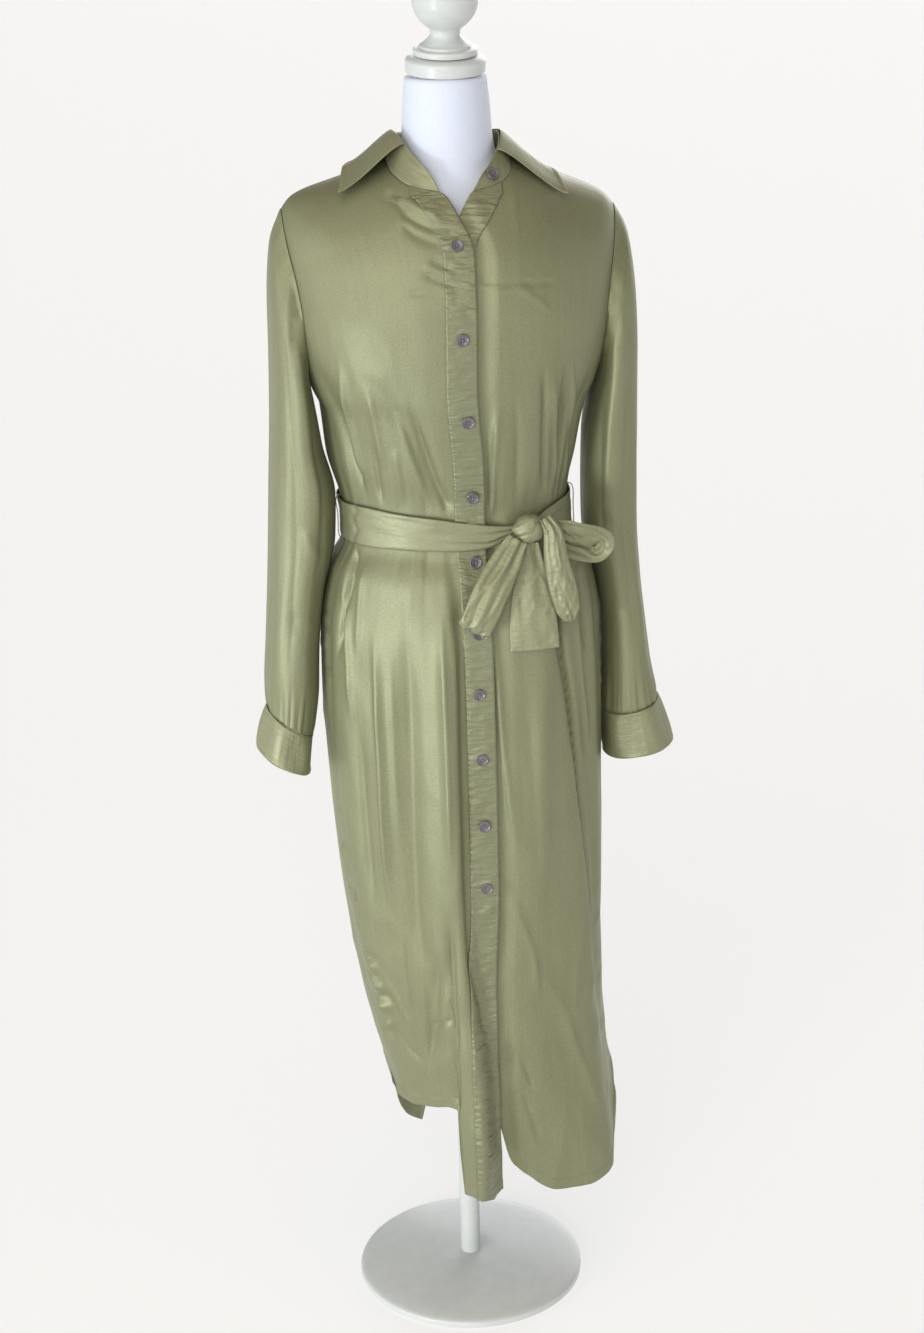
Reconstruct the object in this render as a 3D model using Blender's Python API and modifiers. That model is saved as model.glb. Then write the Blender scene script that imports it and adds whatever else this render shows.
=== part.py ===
"""Belted shirt dress with long sleeves, standing on a limbless dress form.

Metres, +Z up, front towards -Y, +X towards the wearer's left. The origin is the
middle of the round base's underside, on the floor. The garment is cut in walls of
cloth that lie on one family of body rings: `body_point` gives the outer face of the
dress at a turn round the body (degrees, 0 at the front, +90 at the wearer's left)
and a ring height. Panels, plackets, belt and collar are all worked out from it.
"""

import math

import bmesh
import bpy
import numpy as np

# ---------------------------------------------------------------- driving sizes
WALL = 0.0012              # cloth of the panels
TRIM_WALL = 0.0010         # placket, band, collar and belt cloth
CUFF_WALL = 0.0016         # two layers and their interlining
RIBBON_WALL = 0.0014       # the belt's double cloth, in its loops and ends
SEAM_GAP = 0.0003          # free space between pieces that touch
STRIP_GAP = 0.0008         # the same under a strip that follows the deep roll
SIDE_SEAM_TURN = 0.06      # degrees left open on each side of a side seam
RING_POWER = 2.3           # 2 is an ellipse, more is boxier

SHOULDER_TOP = 1.4035      # ring height of the shoulder seam
ARMPIT = 1.155             # height of the foot of the armhole
SHOULDER_BLEND = 1.12      # rings above this height begin to slope
WAIST = 1.0                # middle of the belt
BELT_WIDTH = 0.044
PLACKET_WIDTH = 0.033
LAP_DEPTH = 0.0042         # how far the left front sinks under the right one
LAP_MARGIN = 0.008         # it stays sunk this far past the lapping edge
LAP_EASE = 0.017           # width over which it comes back out
SKIRT_SPLIT = 0.60         # rows below this height follow the curved hem
STRIP_TOP = 1.3685         # ring height where placket and band meet the neckline
LAP_COLUMNS = 4            # grid columns under the placket and the band
STRIP_FOOT = 0.0010        # placket and band end this far above the hem's edge
STRIP_HEAD = 0.0020        # and this far below the neck seam
LIFT_TOP = 0.44            # below this height the lapping edge lifts off the left front
LIFT_RUN = 0.20            # height over which it lifts
LIFT_REACH = 0.012         # how much wider the roll then reaches, and the width it fades over
NECK_SPLIT = 1.33          # rows above this height follow the back neckline
HIGH_SHOULDER_X = 0.067    # half width of the neck opening at the shoulder seam
BACK_NECK = 1.386          # ring height of the back neckline at its middle
COLLAR_LEAN = 0.10         # the collar sits lower on the wearer's left
NECK_FRONT = 1.3690        # ring height where the neck seam ends at the front
STAND_FOOT = 0.0022        # the stand starts this far above the neck seam
LEAF_RISE = 0.0012         # the leaf's fold lies this far above the stand's top edge
LEAF_OUT = 0.0014          # and this far outside it
LEAF_BULGE = 0.0025        # how far the leaf bows out at the back
POINT_BULGE = 0.0045       # and how much further at its points
BELT_CLEARANCE = 0.0016    # the belt's inner face outside the placket's

BUTTON_RADIUS = 0.0070
BUTTON_THICKNESS = 0.0026
BUTTON_WELL = 0.68         # height of the sunk middle, as a share of the thickness

CUFF_BUTTON_TURN = 285.0   # round the cuff: 0 outer side, 90 front, 270 back
CUFF_BUTTON_DOWN = 0.020   # below the cuff's top edge
CUFF_ROWS_PER_METRE = 50.0 # the cuff tables have a row every 20 mm or so

POLE_RADIUS = 0.0125
BASE_RADIUS = 0.140
BASE_HEIGHT = 0.022
FORM_BOTTOM = 0.82
FORM_CLEARANCE = 0.0042   # the figure's shoulder ridge below the shoulder seam's outer face
CAP_TILT = 7.0             # degrees, the cap's front edge is the lower one
NECK_TOP = 1.481
CAP_LIFT = 0.0049          # the tilted cap's low edge then just clears the neck

# ---------------------------------------------------------------- short tables
BODY = (
    # height, half width, front depth, back depth, centre x
    ("height", "half_width", "front_depth", "back_depth", "centre_x"),
    (0.150, 0.132, 0.122, 0.104, 0.0570),
    (0.200, 0.133, 0.124, 0.106, 0.0540),
    (0.300, 0.136, 0.130, 0.112, 0.0385),
    (0.400, 0.143, 0.133, 0.118, 0.0225),
    (0.500, 0.151, 0.135, 0.122, 0.0135),
    (0.600, 0.1570, 0.136, 0.124, 0.0090),
    (0.700, 0.1600, 0.135, 0.124, 0.0055),
    (0.800, 0.1620, 0.132, 0.122, 0.0035),
    (0.880, 0.1600, 0.128, 0.118, 0.0035),
    (0.940, 0.1480, 0.117, 0.104, 0.004),
    (0.976, 0.1275, 0.105, 0.087, 0.0005),
    (1.000, 0.1262, 0.104, 0.085, 0.0),
    (1.024, 0.1268, 0.105, 0.086, 0.0),
    (1.070, 0.1355, 0.116, 0.091, 0.0),
    (1.100, 0.1405, 0.122, 0.094, 0.0),
    (1.130, 0.1475, 0.127, 0.097, 0.0),
    (1.155, 0.1580, 0.130, 0.099, 0.0),
    (1.200, 0.1700, 0.132, 0.100, 0.0),
    (1.240, 0.1760, 0.130, 0.099, 0.0),
    (1.300, 0.1810, 0.116, 0.094, 0.0),
    (1.340, 0.1840, 0.098, 0.084, 0.0),
    (1.368, 0.1855, 0.077, 0.075, 0.0),
    (1.388, 0.1865, 0.052, 0.059, 0.0),
    (1.399, 0.1870, 0.026, 0.030, 0.0),
    (1.4035, 0.1870, 0.0014, 0.0014, 0.0),
)
SHOULDER = (
    # drop of the shoulder seam below the high shoulder point, across the body
    ("x", "drop"),
    (-0.1875, 0.0690), (-0.180, 0.0535), (-0.170, 0.0425), (-0.155, 0.0350), (-0.130, 0.0270),
    (-0.100, 0.0180), (-0.066, 0.0075), (-0.060, 0.0050), (0.0, 0.0), (0.060, 0.0050),
    (0.066, 0.0075), (0.100, 0.0200), (0.130, 0.0320), (0.155, 0.0425), (0.170, 0.0510),
    (0.180, 0.0620), (0.1875, 0.0755),
)
ARMHOLE = (
    # turn of the armhole seam on the front and on the back panel, by ring height
    ("height", "front_turn", "back_turn"),
    (ARMPIT, 90.0, 90.0), (1.175, 79.0, 99.0), (1.210, 70.5, 106.0), (1.260, 67.5, 109.0),
    (1.310, 69.0, 108.5), (1.350, 72.0, 107.0), (1.385, 74.5, 105.5), (SHOULDER_TOP, 75.0, 105.0),
)
WAIST_LINE = (
    # how far the belt line rises or dips, by turn
    ("turn", "rise"),
    (-180.0, 0.005), (-135.0, 0.006), (-90.0, 0.004), (-45.0, 0.007), (-15.0, 0.006),
    (10.0, 0.000), (35.0, 0.003), (60.0, 0.004), (90.0, 0.002), (135.0, 0.004), (180.0, 0.005),
)
FRONT_EDGE = (
    # x of the finished front edges, by ring height: the right front laps over the left
    ("height", "lap_x", "band_x"),
    (0.150, 0.0255, -0.0090), (0.300, 0.0225, -0.0120), (0.450, 0.0207, -0.0120),
    (0.600, 0.0250, -0.0080), (0.800, 0.0245, -0.0085), (0.970, 0.0216, -0.0114),
    (1.078, 0.0180, -0.0150), (1.170, 0.0112, -0.0218), (1.302, 0.0131, -0.0199),
    (1.319, 0.0117, -0.0160), (1.332, 0.0070, -0.0090), (1.345, 0.0001, 0.0000),
    (1.357, -0.0059, 0.0080), (1.3685, -0.0150, 0.0160), (1.3740, -0.0360, 0.0360),
    (1.3810, -0.0520, 0.0520), (1.3900, -0.0620, 0.0620), (1.3970, -0.0660, 0.0660),
    (SHOULDER_TOP, -0.0670, 0.0670),
)
RIGHT_HEM = (
    # hem height of the right front, by turn
    ("turn", "height"),
    (-90.0, 0.312), (-80.0, 0.300), (-60.0, 0.288), (-50.0, 0.289), (-38.5, 0.295), (-32.5, 0.300),
    (-29.5, 0.190), (-26.0, 0.192), (-20.0, 0.193), (-14.0, 0.182), (-8.0, 0.186),
)
LEFT_HEM = (
    ("turn", "height"),
    (-24.0, 0.310), (-13.0, 0.300), (-9.0, 0.265), (-5.5, 0.226), (0.0, 0.203), (9.0, 0.180),
    (17.0, 0.172), (32.0, 0.169), (46.0, 0.175), (57.0, 0.194), (67.0, 0.224), (80.0, 0.278),
    (90.0, 0.312),
)
BACK_HEM = (
    ("turn", "height"),
    (90.0, 0.312), (104.0, 0.262), (125.0, 0.224), (180.0, 0.212), (205.0, 0.214),
    (217.0, 0.208), (226.0, 0.186), (232.0, 0.177), (241.0, 0.186), (252.0, 0.206),
    (262.0, 0.252), (270.0, 0.312),
)
FRONT_ROLL = (
    # the deep roll of cloth that hangs beside the placket and swings over it at the hem
    ("height", "x", "out", "toward_placket", "away"),
    (0.150, -0.003, 0.047, 0.017, 0.019), (0.250, -0.004, 0.042, 0.016, 0.022),
    (0.330, -0.007, 0.033, 0.016, 0.028), (0.400, -0.013, 0.026, 0.015, 0.034),
    (0.480, -0.020, 0.019, 0.014, 0.042), (0.600, -0.026, 0.014, 0.012, 0.050),
    (0.800, -0.028, 0.010, 0.011, 0.055), (0.930, -0.028, 0.005, 0.011, 0.050),
    (0.970, -0.028, 0.000, 0.011, 0.050), (1.100, -0.028, 0.000, 0.011, 0.050),
)
FOLDS = (
    # long soft folds: where each starts and ends, how far it stands out (or in), how wide
    ("top", "top_turn", "low", "low_turn", "out", "spread", "open_end"),
    (0.965, -56.0, 0.150, -62.0, 0.0060, 11.0, 1.0),
    (0.970, -74.0, 0.600, -76.0, -0.0050, 4.0, 0.0),
    (0.960, 27.0, 0.520, 19.0, 0.0060, 6.0, 0.0),
    (0.965, 47.0, 0.330, 66.0, -0.0080, 6.0, 0.0),
    (0.965, 58.0, 0.150, 47.0, 0.0060, 12.0, 1.0),
    (0.962, 66.0, 0.640, 73.0, -0.0060, 4.5, 0.0),
    (0.962, 112.0, 0.150, 118.0, 0.0080, 10.0, 1.0),
    (0.962, 138.0, 0.150, 142.0, -0.0070, 9.0, 1.0),
    (0.962, 163.0, 0.150, 165.0, 0.0090, 10.0, 1.0),
    (0.962, 190.0, 0.150, 188.0, -0.0070, 9.0, 1.0),
    (0.962, 214.0, 0.150, 212.0, 0.0090, 10.0, 1.0),
    (0.962, 241.0, 0.150, 236.0, -0.0070, 9.0, 1.0),
    (1.135, -92.0, 1.005, -92.0, 0.0070, 20.0, 0.0),
    (1.190, -34.0, 1.020, -9.0, -0.0050, 5.0, 0.0),
    (1.200, -62.0, 1.035, -58.0, -0.0050, 5.0, 0.0),
    (1.200, 42.0, 1.030, 46.0, -0.0050, 5.0, 0.0),
    (1.180, 58.0, 1.030, 60.0, -0.0045, 4.5, 0.0),
    (1.200, 140.0, 1.030, 146.0, -0.0050, 6.0, 0.0),
    (1.210, 180.0, 1.030, 180.0, -0.0050, 7.0, 0.0),
    (1.200, 222.0, 1.030, 214.0, -0.0050, 6.0, 0.0),
)
SLEEVE_COLUMNS = ("inner_x", "inner_z", "outer_x", "outer_z", "half_depth", "y")
ARMHOLE_SECTION = (0.1580, 1.1550, 0.1815, 1.3380, 0.0540, -0.002)
SLEEVE_RIGHT = (
    SLEEVE_COLUMNS, ARMHOLE_SECTION,
    (0.1575, 1.1470, 0.1955, 1.3060, 0.0585, -0.002),
    (0.1560, 1.1370, 0.2005, 1.2550, 0.0610, -0.003),
    (0.1535, 1.1180, 0.2015, 1.1980, 0.0620, -0.004),
    (0.1490, 1.0850, 0.2040, 1.1200, 0.0600, -0.004),
    (0.1370, 1.0300, 0.2080, 1.0500, 0.0570, -0.003),
    (0.1385, 0.9800, 0.2115, 0.9850, 0.0540, -0.001),
    (0.1520, 0.9200, 0.2155, 0.9200, 0.0520, -0.001),
    (0.1600, 0.8600, 0.2200, 0.8620, 0.0490, -0.003),
    (0.1640, 0.8020, 0.2235, 0.8160, 0.0450, -0.006),
    (0.1735, 0.7465, 0.2225, 0.7815, 0.0405, -0.010),
)
SLEEVE_LEFT = (
    SLEEVE_COLUMNS, ARMHOLE_SECTION,
    (0.1575, 1.1470, 0.1970, 1.3060, 0.0585, -0.002),
    (0.1560, 1.1370, 0.2030, 1.2550, 0.0610, -0.003),
    (0.1530, 1.1150, 0.2055, 1.1950, 0.0620, -0.004),
    (0.1485, 1.0800, 0.2055, 1.1120, 0.0600, -0.004),
    (0.1475, 1.0300, 0.2050, 1.0450, 0.0570, -0.003),
    (0.1480, 0.9800, 0.2060, 0.9820, 0.0540, -0.001),
    (0.1600, 0.9200, 0.2100, 0.9220, 0.0520, -0.001),
    (0.1685, 0.8620, 0.2165, 0.8650, 0.0490, -0.003),
    (0.1695, 0.8050, 0.2240, 0.8110, 0.0450, -0.006),
    (0.1680, 0.7525, 0.2325, 0.7665, 0.0405, -0.010),
)
CUFF_RIGHT = (
    SLEEVE_COLUMNS,
    (0.1731, 0.7459, 0.2232, 0.7809, 0.0412, -0.010),
    (0.1755, 0.7230, 0.2310, 0.7570, 0.0420, -0.012),
    (0.1780, 0.7010, 0.2370, 0.7340, 0.0425, -0.014),
)
CUFF_LEFT = (
    SLEEVE_COLUMNS,
    (0.1676, 0.7520, 0.2331, 0.7660, 0.0412, -0.010),
    (0.1680, 0.7260, 0.2415, 0.7400, 0.0420, -0.012),
    (0.1700, 0.6985, 0.2505, 0.7130, 0.0425, -0.014),
)
COLLAR_FOLD = (
    # top edge of the stand on the wearer's left, from the middle of the back to the front
    ("along", "x", "y", "z"),
    (0.00, 0.0000, 0.0560, 1.4150), (0.18, 0.0300, 0.0500, 1.4160), (0.32, 0.0490, 0.0320, 1.4180),
    (0.48, 0.0570, 0.0070, 1.4225), (0.62, 0.0540, -0.0160, 1.4185), (0.76, 0.0480, -0.0350, 1.4100),
    (0.88, 0.0390, -0.0530, 1.3990), (1.00, 0.0290, -0.0680, 1.3880),
)
LEAF_EDGE = (
    # free edge of the collar leaf on the wearer's left, from the middle of the back to the point
    ("along", "x", "y", "z"),
    (0.00, 0.0000, 0.0860, 1.3700), (0.22, 0.0450, 0.0780, 1.3720), (0.42, 0.0800, 0.0540, 1.3800),
    (0.60, 0.1030, 0.0180, 1.3880), (0.76, 0.1140, -0.0140, 1.3870), (0.90, 0.1200, -0.0400, 1.3760),
    (1.00, 0.1235, -0.0580, 1.3660),
)
LEAF_START = 0.76          # the leaf's front end starts here along the stand's top edge
BUTTON_SPOTS = (
    # x and height of the front buttons, and the lift that seats each on the faceted placket
    ("x", "height", "lift"),
    (-0.0050, 1.318, 0.0003), (-0.0038, 1.223, -0.0002), (0.0010, 1.133, -0.0002),
    (0.0062, 1.045, 0.0013), (0.0085, 0.968, 0.0014), (0.0080, 0.893, -0.0003),
    (0.0070, 0.824, 0.0002), (0.0085, 0.7475, 0.0002), (0.0095, 0.667, 0.0002),
    (0.0110, 0.590, 0.0002),
)
FORM = (
    # one closed figure: side half width and height, then front and back depth and height
    ("half_width", "side_z", "front_depth", "front_z", "back_depth", "back_z"),
    (0.1380, 0.820, 0.1050, 0.820, 0.1030, 0.820),
    (0.1400, 0.880, 0.1040, 0.880, 0.1030, 0.880),
    (0.1260, 0.940, 0.0930, 0.940, 0.0900, 0.940),
    (0.1100, 1.000, 0.0840, 1.000, 0.0720, 1.000),
    (0.1130, 1.050, 0.0890, 1.050, 0.0740, 1.050),
    (0.1240, 1.100, 0.1000, 1.100, 0.0800, 1.100),
    (0.1330, 1.150, 0.1120, 1.150, 0.0860, 1.150),
    (0.1400, 1.200, 0.1180, 1.200, 0.0880, 1.200),
    (0.1450, 1.245, 0.1130, 1.250, 0.0870, 1.250),
    (0.1490, 1.290, 0.0990, 1.295, 0.0830, 1.295),
    (0.1510, 1.330, 0.0860, 1.327, 0.0750, 1.333),
    (0.1480, 1.3545, 0.0770, 1.346, 0.0690, 1.351),
    (0.1250, 0.0, 0.0700, 1.359, 0.0610, 1.360),
    (0.0950, 0.0, 0.0640, 1.370, 0.0530, 1.371),
    (0.0700, 0.0, 0.0590, 1.380, 0.0475, 1.381),
    (0.0530, 1.4010, 0.0545, 1.395, 0.0460, 1.400),
    (0.0490, 1.4210, 0.0505, 1.416, 0.0455, 1.420),
    (0.0468, 1.4550, 0.0465, 1.450, 0.0455, 1.453),
    (0.0440, NECK_TOP, 0.0440, NECK_TOP, 0.0440, NECK_TOP),
)
FINIAL_PROFILE = (
    # radius and height above the cap's underside, from the axis at the top to the axis below
    ("radius", "height"),
    (0.0000, 0.1130), (0.0125, 0.1108), (0.0240, 0.1045), (0.0320, 0.0950), (0.0352, 0.0835),
    (0.0352, 0.0730), (0.0318, 0.0610), (0.0240, 0.0510), (0.0165, 0.0445), (0.0160, 0.0400),
    (0.0190, 0.0350), (0.0250, 0.0300), (0.0280, 0.0285), (0.0285, 0.0262), (0.0340, 0.0250),
    (0.0345, 0.0195), (0.0000, 0.0190),
)
CAP_PROFILE = (
    ("radius", "height"),
    (0.0000, 0.0187), (0.0370, 0.0170), (0.0415, 0.0150), (0.0430, 0.0120), (0.0430, 0.0030),
    (0.0420, 0.0005), (0.0000, 0.0005),
)
BASE_PROFILE = (
    ("radius", "height"),
    (0.0000, BASE_HEIGHT), (0.0300, BASE_HEIGHT), (0.0900, 0.0170), (0.1270, 0.0120),
    (0.1370, 0.0090), (BASE_RADIUS, 0.0050), (BASE_RADIUS, 0.0015), (0.1385, 0.0),
    (0.0000, 0.0),
)

ROW_HEIGHTS = (
    0.200, 0.255, 0.320, 0.395, 0.470, 0.540, 0.610, 0.690, 0.770, 0.845, 0.905, 0.945, 0.975,
    1.000, 1.025, 1.060, 1.105, ARMPIT, 1.200, 1.245, 1.290, 1.318, 1.332, 1.347, 1.3685,
    1.381, 1.391, 1.399, SHOULDER_TOP,
)

# ---------------------------------------------------------------- colours
OLIVE = (0.262, 0.270, 0.152, 1.0)
OLIVE_TRIM = (0.225, 0.228, 0.130, 1.0)
HORN = (0.090, 0.078, 0.090, 1.0)
FORM_WHITE = (0.780, 0.800, 0.880, 1.0)
PAINT_WHITE = (0.720, 0.720, 0.690, 1.0)


# ---------------------------------------------------------------- reading tables
def column(table, name):
    """One named column of a table, as an array."""
    place = table[0].index(name)
    return np.array([row[place] for row in table[1:]])


def eased(keys, values, at):
    """Monotone cubic through (keys, values), read at `at`, flat beyond the ends."""
    at = np.clip(at, keys[0], keys[-1])
    step = np.diff(keys)
    slope = np.diff(values) / step
    tangent = np.zeros(len(keys))
    both = slope[:-1] * slope[1:] > 0
    mean = 2.0 * slope[:-1] * slope[1:]
    tangent[1:-1][both] = mean[both] / (slope[:-1] + slope[1:])[both]
    tangent[0], tangent[-1] = slope[0], slope[-1]
    low = np.clip(np.searchsorted(keys, at, side="right") - 1, 0, len(keys) - 2)
    share = (at - keys[low]) / step[low]
    square, cube = share ** 2, share ** 3
    return ((2 * cube - 3 * square + 1) * values[low]
            + (cube - 2 * square + share) * step[low] * tangent[low]
            + (3 * square - 2 * cube) * values[low + 1]
            + (cube - square) * step[low] * tangent[low + 1])


def read(table, name, at):
    """A named column of a table, read at the values of its first column."""
    return eased(column(table, table[0][0]), column(table, name), at)


def soft_step(share):
    """0 below 0, 1 above 1, with flat ends."""
    share = np.clip(share, 0.0, 1.0)
    return share * share * (3.0 - 2.0 * share)


# ---------------------------------------------------------------- the dress's outer face
def turn_at(x, height):
    """Turn in degrees of the front point that stands at x on the ring at this height."""
    side = (x - read(BODY, "centre_x", height)) / read(BODY, "half_width", height)
    side = np.clip(side, -1.0, 1.0)
    return np.degrees(np.arcsin(np.sign(side) * np.abs(side) ** (RING_POWER / 2.0)))


def fold_push(turn, height):
    """Outward push of the long folds: a bell across each fold, swelling along it."""
    push = np.zeros(np.broadcast(turn, height).shape)
    for top, top_turn, low, low_turn, out, spread, open_end in FOLDS[1:]:
        share = np.clip((top - height) / (top - low), 0.0, 1.0)
        middle = top_turn + (low_turn - top_turn) * share
        away = (turn - middle + 180.0) % 360.0 - 180.0
        swell = np.sin(share * math.pi * (0.5 if open_end else 1.0))
        push = push + out * swell * np.exp(-(away / spread) ** 2)
    return push


def roll_push(x, height):
    """Forward push of the roll beside the placket: it fades at the lapping edge, which
    lifts away from the left front only near the hem."""
    away = x - read(FRONT_ROLL, "x", height)
    spread = np.where(away > 0, read(FRONT_ROLL, "toward_placket", height),
                      read(FRONT_ROLL, "away", height))
    lifted = LIFT_REACH * soft_step((LIFT_TOP - height) / LIFT_RUN)
    inside = soft_step((read(FRONT_EDGE, "lap_x", height) + lifted - x) / LIFT_REACH)
    return read(FRONT_ROLL, "out", height) * np.exp(-np.abs(away / spread) ** 2.4) * inside


def body_point(turn, height, roll=False, sunk=False):
    """Outer face of the dress at a turn and a ring height.

    A ring is a superellipse with its own front and back depth. Towards the shoulders
    it slopes down with the shoulder seam, and at the waist it follows the belt line.
    """
    turn, height = np.broadcast_arrays(np.asarray(turn, float), np.asarray(height, float))
    sine, cosine = np.sin(np.radians(turn)), np.cos(np.radians(turn))
    power = 2.0 / RING_POWER
    half_width = read(BODY, "half_width", height)
    depth = np.where(cosine >= 0, read(BODY, "front_depth", height),
                     read(BODY, "back_depth", height))
    from_middle = half_width * np.sign(sine) * np.abs(sine) ** power
    x = from_middle + read(BODY, "centre_x", height)
    y = -depth * np.sign(cosine) * np.abs(cosine) ** power
    slope = soft_step((height - SHOULDER_BLEND) / (SHOULDER_TOP - SHOULDER_BLEND))
    wrapped = (turn + 180.0) % 360.0 - 180.0
    tilt = read(WAIST_LINE, "rise", wrapped) * np.exp(-((height - WAIST) / 0.11) ** 2)
    z = height - slope * read(SHOULDER, "drop", x) + tilt
    across = sine / half_width
    forward = -cosine / np.maximum(depth, 0.02)
    size = np.hypot(across, forward)
    push = fold_push(turn, height)
    if sunk:
        past_edge = (x - read(FRONT_EDGE, "lap_x", height) - LAP_MARGIN) / LAP_EASE
        push = push - LAP_DEPTH * (1.0 - soft_step(past_edge))
    x = x + push * across / size
    y = y + push * forward / size
    if roll:
        y = y - roll_push(x, height)
    return np.stack([x, y, z], axis=-1)


def moved_out(place, turn, height, distance):
    """Points of `place(turn, height)` moved out along the face's normal."""
    small_turn, small_height = 0.05, 0.0005
    along_turn = place(turn + small_turn, height) - place(turn - small_turn, height)
    along_height = place(turn, height + small_height) - place(turn, height - small_height)
    normal = np.cross(along_turn, along_height)
    normal /= np.linalg.norm(normal, axis=-1, keepdims=True)
    return place(turn, height) + normal * np.asarray(distance)[..., None]


def right_face(turn, height):
    """Outer face of the right front, with its roll."""
    return body_point(turn, height, roll=True)


def left_face(turn, height):
    """Outer face of the left front, sunk where the right front laps over it."""
    return body_point(turn, height, sunk=True)


# ---------------------------------------------------------------- making objects
def plain_material(name, colour, roughness):
    """A plain Principled material."""
    material = bpy.data.materials.new(name)
    material.use_nodes = True
    shader = material.node_tree.nodes["Principled BSDF"]
    shader.inputs["Base Color"].default_value = colour
    shader.inputs["Roughness"].default_value = roughness
    return material


def add_object(name, mesh, material, collection):
    """Links a mesh as a named object, shaded smooth."""
    mesh.materials.append(material)
    mesh.shade_smooth()
    thing = bpy.data.objects.new(name, mesh)
    collection.objects.link(thing)
    return thing


def grid_faces(rows, columns, wrap):
    """Quads of a rows x columns grid, closed round its columns where wrap is set."""
    row = np.arange(rows - 1)[:, None]
    col = np.arange(columns if wrap else columns - 1)[None, :]
    after = (col + 1) % columns
    quads = [row * columns + col, row * columns + after,
             (row + 1) * columns + after, (row + 1) * columns + col]
    return np.stack(np.broadcast_arrays(*quads), axis=-1).reshape(-1, 4)


def add_wall(name, points, thickness, material, collection, wrap=False, offset=-1.0):
    """A wall of cloth: a grid of outer points with a Solidify modifier behind it."""
    rows, columns = points.shape[:2]
    mesh = bpy.data.meshes.new(name)
    faces = grid_faces(rows, columns, wrap)
    mesh.from_pydata(points.reshape(-1, 3).tolist(), [], faces.tolist())
    wall = add_object(name, mesh, material, collection)
    solid = wall.modifiers.new("Cloth", "SOLIDIFY")
    solid.thickness = thickness
    solid.offset = offset
    solid.use_even_offset = False
    return wall


def add_loft(name, rings, material, collection):
    """A closed body through rings of equal length, capped at both ends."""
    count, columns = rings.shape[:2]
    mesh = bpy.data.meshes.new(name)
    faces = grid_faces(count, columns, wrap=True).tolist()
    faces.append(list(range(columns))[::-1])
    faces.append(list(range((count - 1) * columns, count * columns)))
    mesh.from_pydata(rings.reshape(-1, 3).tolist(), [], faces)
    return add_object(name, mesh, material, collection)


def add_turned(name, profile, material, collection, steps=24):
    """A turned body: a profile that runs down its outer side, with a Screw modifier."""
    points = [(radius, 0.0, height) for radius, height in profile[1:]]
    mesh = bpy.data.meshes.new(name)
    mesh.from_pydata(points, [(i, i + 1) for i in range(len(points) - 1)], [])
    turned = add_object(name, mesh, material, collection)
    screw = turned.modifiers.new("Turn", "SCREW")
    screw.steps = screw.render_steps = steps
    screw.use_merge_vertices = True
    screw.merge_threshold = 0.00005
    return turned


# ---------------------------------------------------------------- panels
def lap_turns(edge, side, height):
    """Turns of the columns that a front panel shares with the strip on its edge."""
    share = np.linspace(0.0, 1.0, LAP_COLUMNS)
    x = read(FRONT_EDGE, edge, height) + side * PLACKET_WIDTH * share
    return turn_at(x, height)


def strip_gap(height):
    """Free space under a strip: more where it follows the deep roll near the hem."""
    return STRIP_GAP * (1.0 + soft_step((0.50 - height) / 0.15))


def front_turns(edge, side, height, columns):
    """Turns across a front panel: the strip's columns, then out to the seam or armhole."""
    strip = lap_turns(edge, side, height)
    outer = np.where(height <= ARMPIT, 90.0, read(ARMHOLE, "front_turn", height))
    outer = side * (outer - SIDE_SEAM_TURN)
    share = np.linspace(0.0, 1.0, columns - LAP_COLUMNS + 1)[1:] ** 1.15
    inner = strip[..., -1:]
    return np.concatenate([strip, inner + (outer - inner) * share], axis=-1)


def follow_hem(nominal, low):
    """Ring heights of rows and columns: below SKIRT_SPLIT the rows spread down to the hem."""
    lift = (SKIRT_SPLIT - nominal) / (SKIRT_SPLIT - ROW_HEIGHTS[0])
    return np.where(nominal < SKIRT_SPLIT, SKIRT_SPLIT - (SKIRT_SPLIT - low) * lift,
                    nominal + 0.0 * low)


def front_grid(edge, side, hem, columns):
    """Turn and height grids of a front panel, with rows that follow the hem below."""
    nominal = np.array(ROW_HEIGHTS)[:, None]
    low = read(hem, "height", front_turns(edge, side, np.full((1, 1), 0.22), columns))
    height = follow_hem(nominal, low)
    turn = np.stack([front_turns(edge, side, height[:, i:i + 1], columns)[:, i]
                     for i in range(columns)], axis=-1)
    return turn, height


def build_fronts(cloth, trim, collection):
    """The two fronts, each with the strip that lies on its edge."""
    sides = (("right_front", "placket", right_face, "lap_x", -1.0, RIGHT_HEM),
             ("left_front", "button_band", left_face, "band_x", 1.0, LEFT_HEM))
    for name, strip_name, face, edge, side, hem in sides:
        turn, height = front_grid(edge, side, hem, columns=19)
        lap = slice(0, LAP_COLUMNS)
        rows = slice(0, ROW_HEIGHTS.index(STRIP_TOP) + 1)
        strip_turn, strip_height = turn[rows, lap].copy(), height[rows, lap].copy()
        strip_height[0] += STRIP_FOOT
        strip_height[-1] -= STRIP_HEAD
        gap = strip_gap(strip_height) + TRIM_WALL
        strip = moved_out(face, strip_turn, strip_height, gap)
        panel = face(turn, height)
        if side < 0:
            panel, strip = panel[:, ::-1], strip[:, ::-1]
        add_wall(name, panel, WALL, cloth, collection)
        add_wall(strip_name, strip, TRIM_WALL, trim, collection)


def back_top(turn):
    """Ring height of the back panel's top edge: the shoulder seam, then the neckline."""
    x = body_point(turn, SHOULDER_TOP)[..., 0]
    return SHOULDER_TOP - (SHOULDER_TOP - BACK_NECK) * soft_step((HIGH_SHOULDER_X - np.abs(x)) / 0.045)


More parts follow.
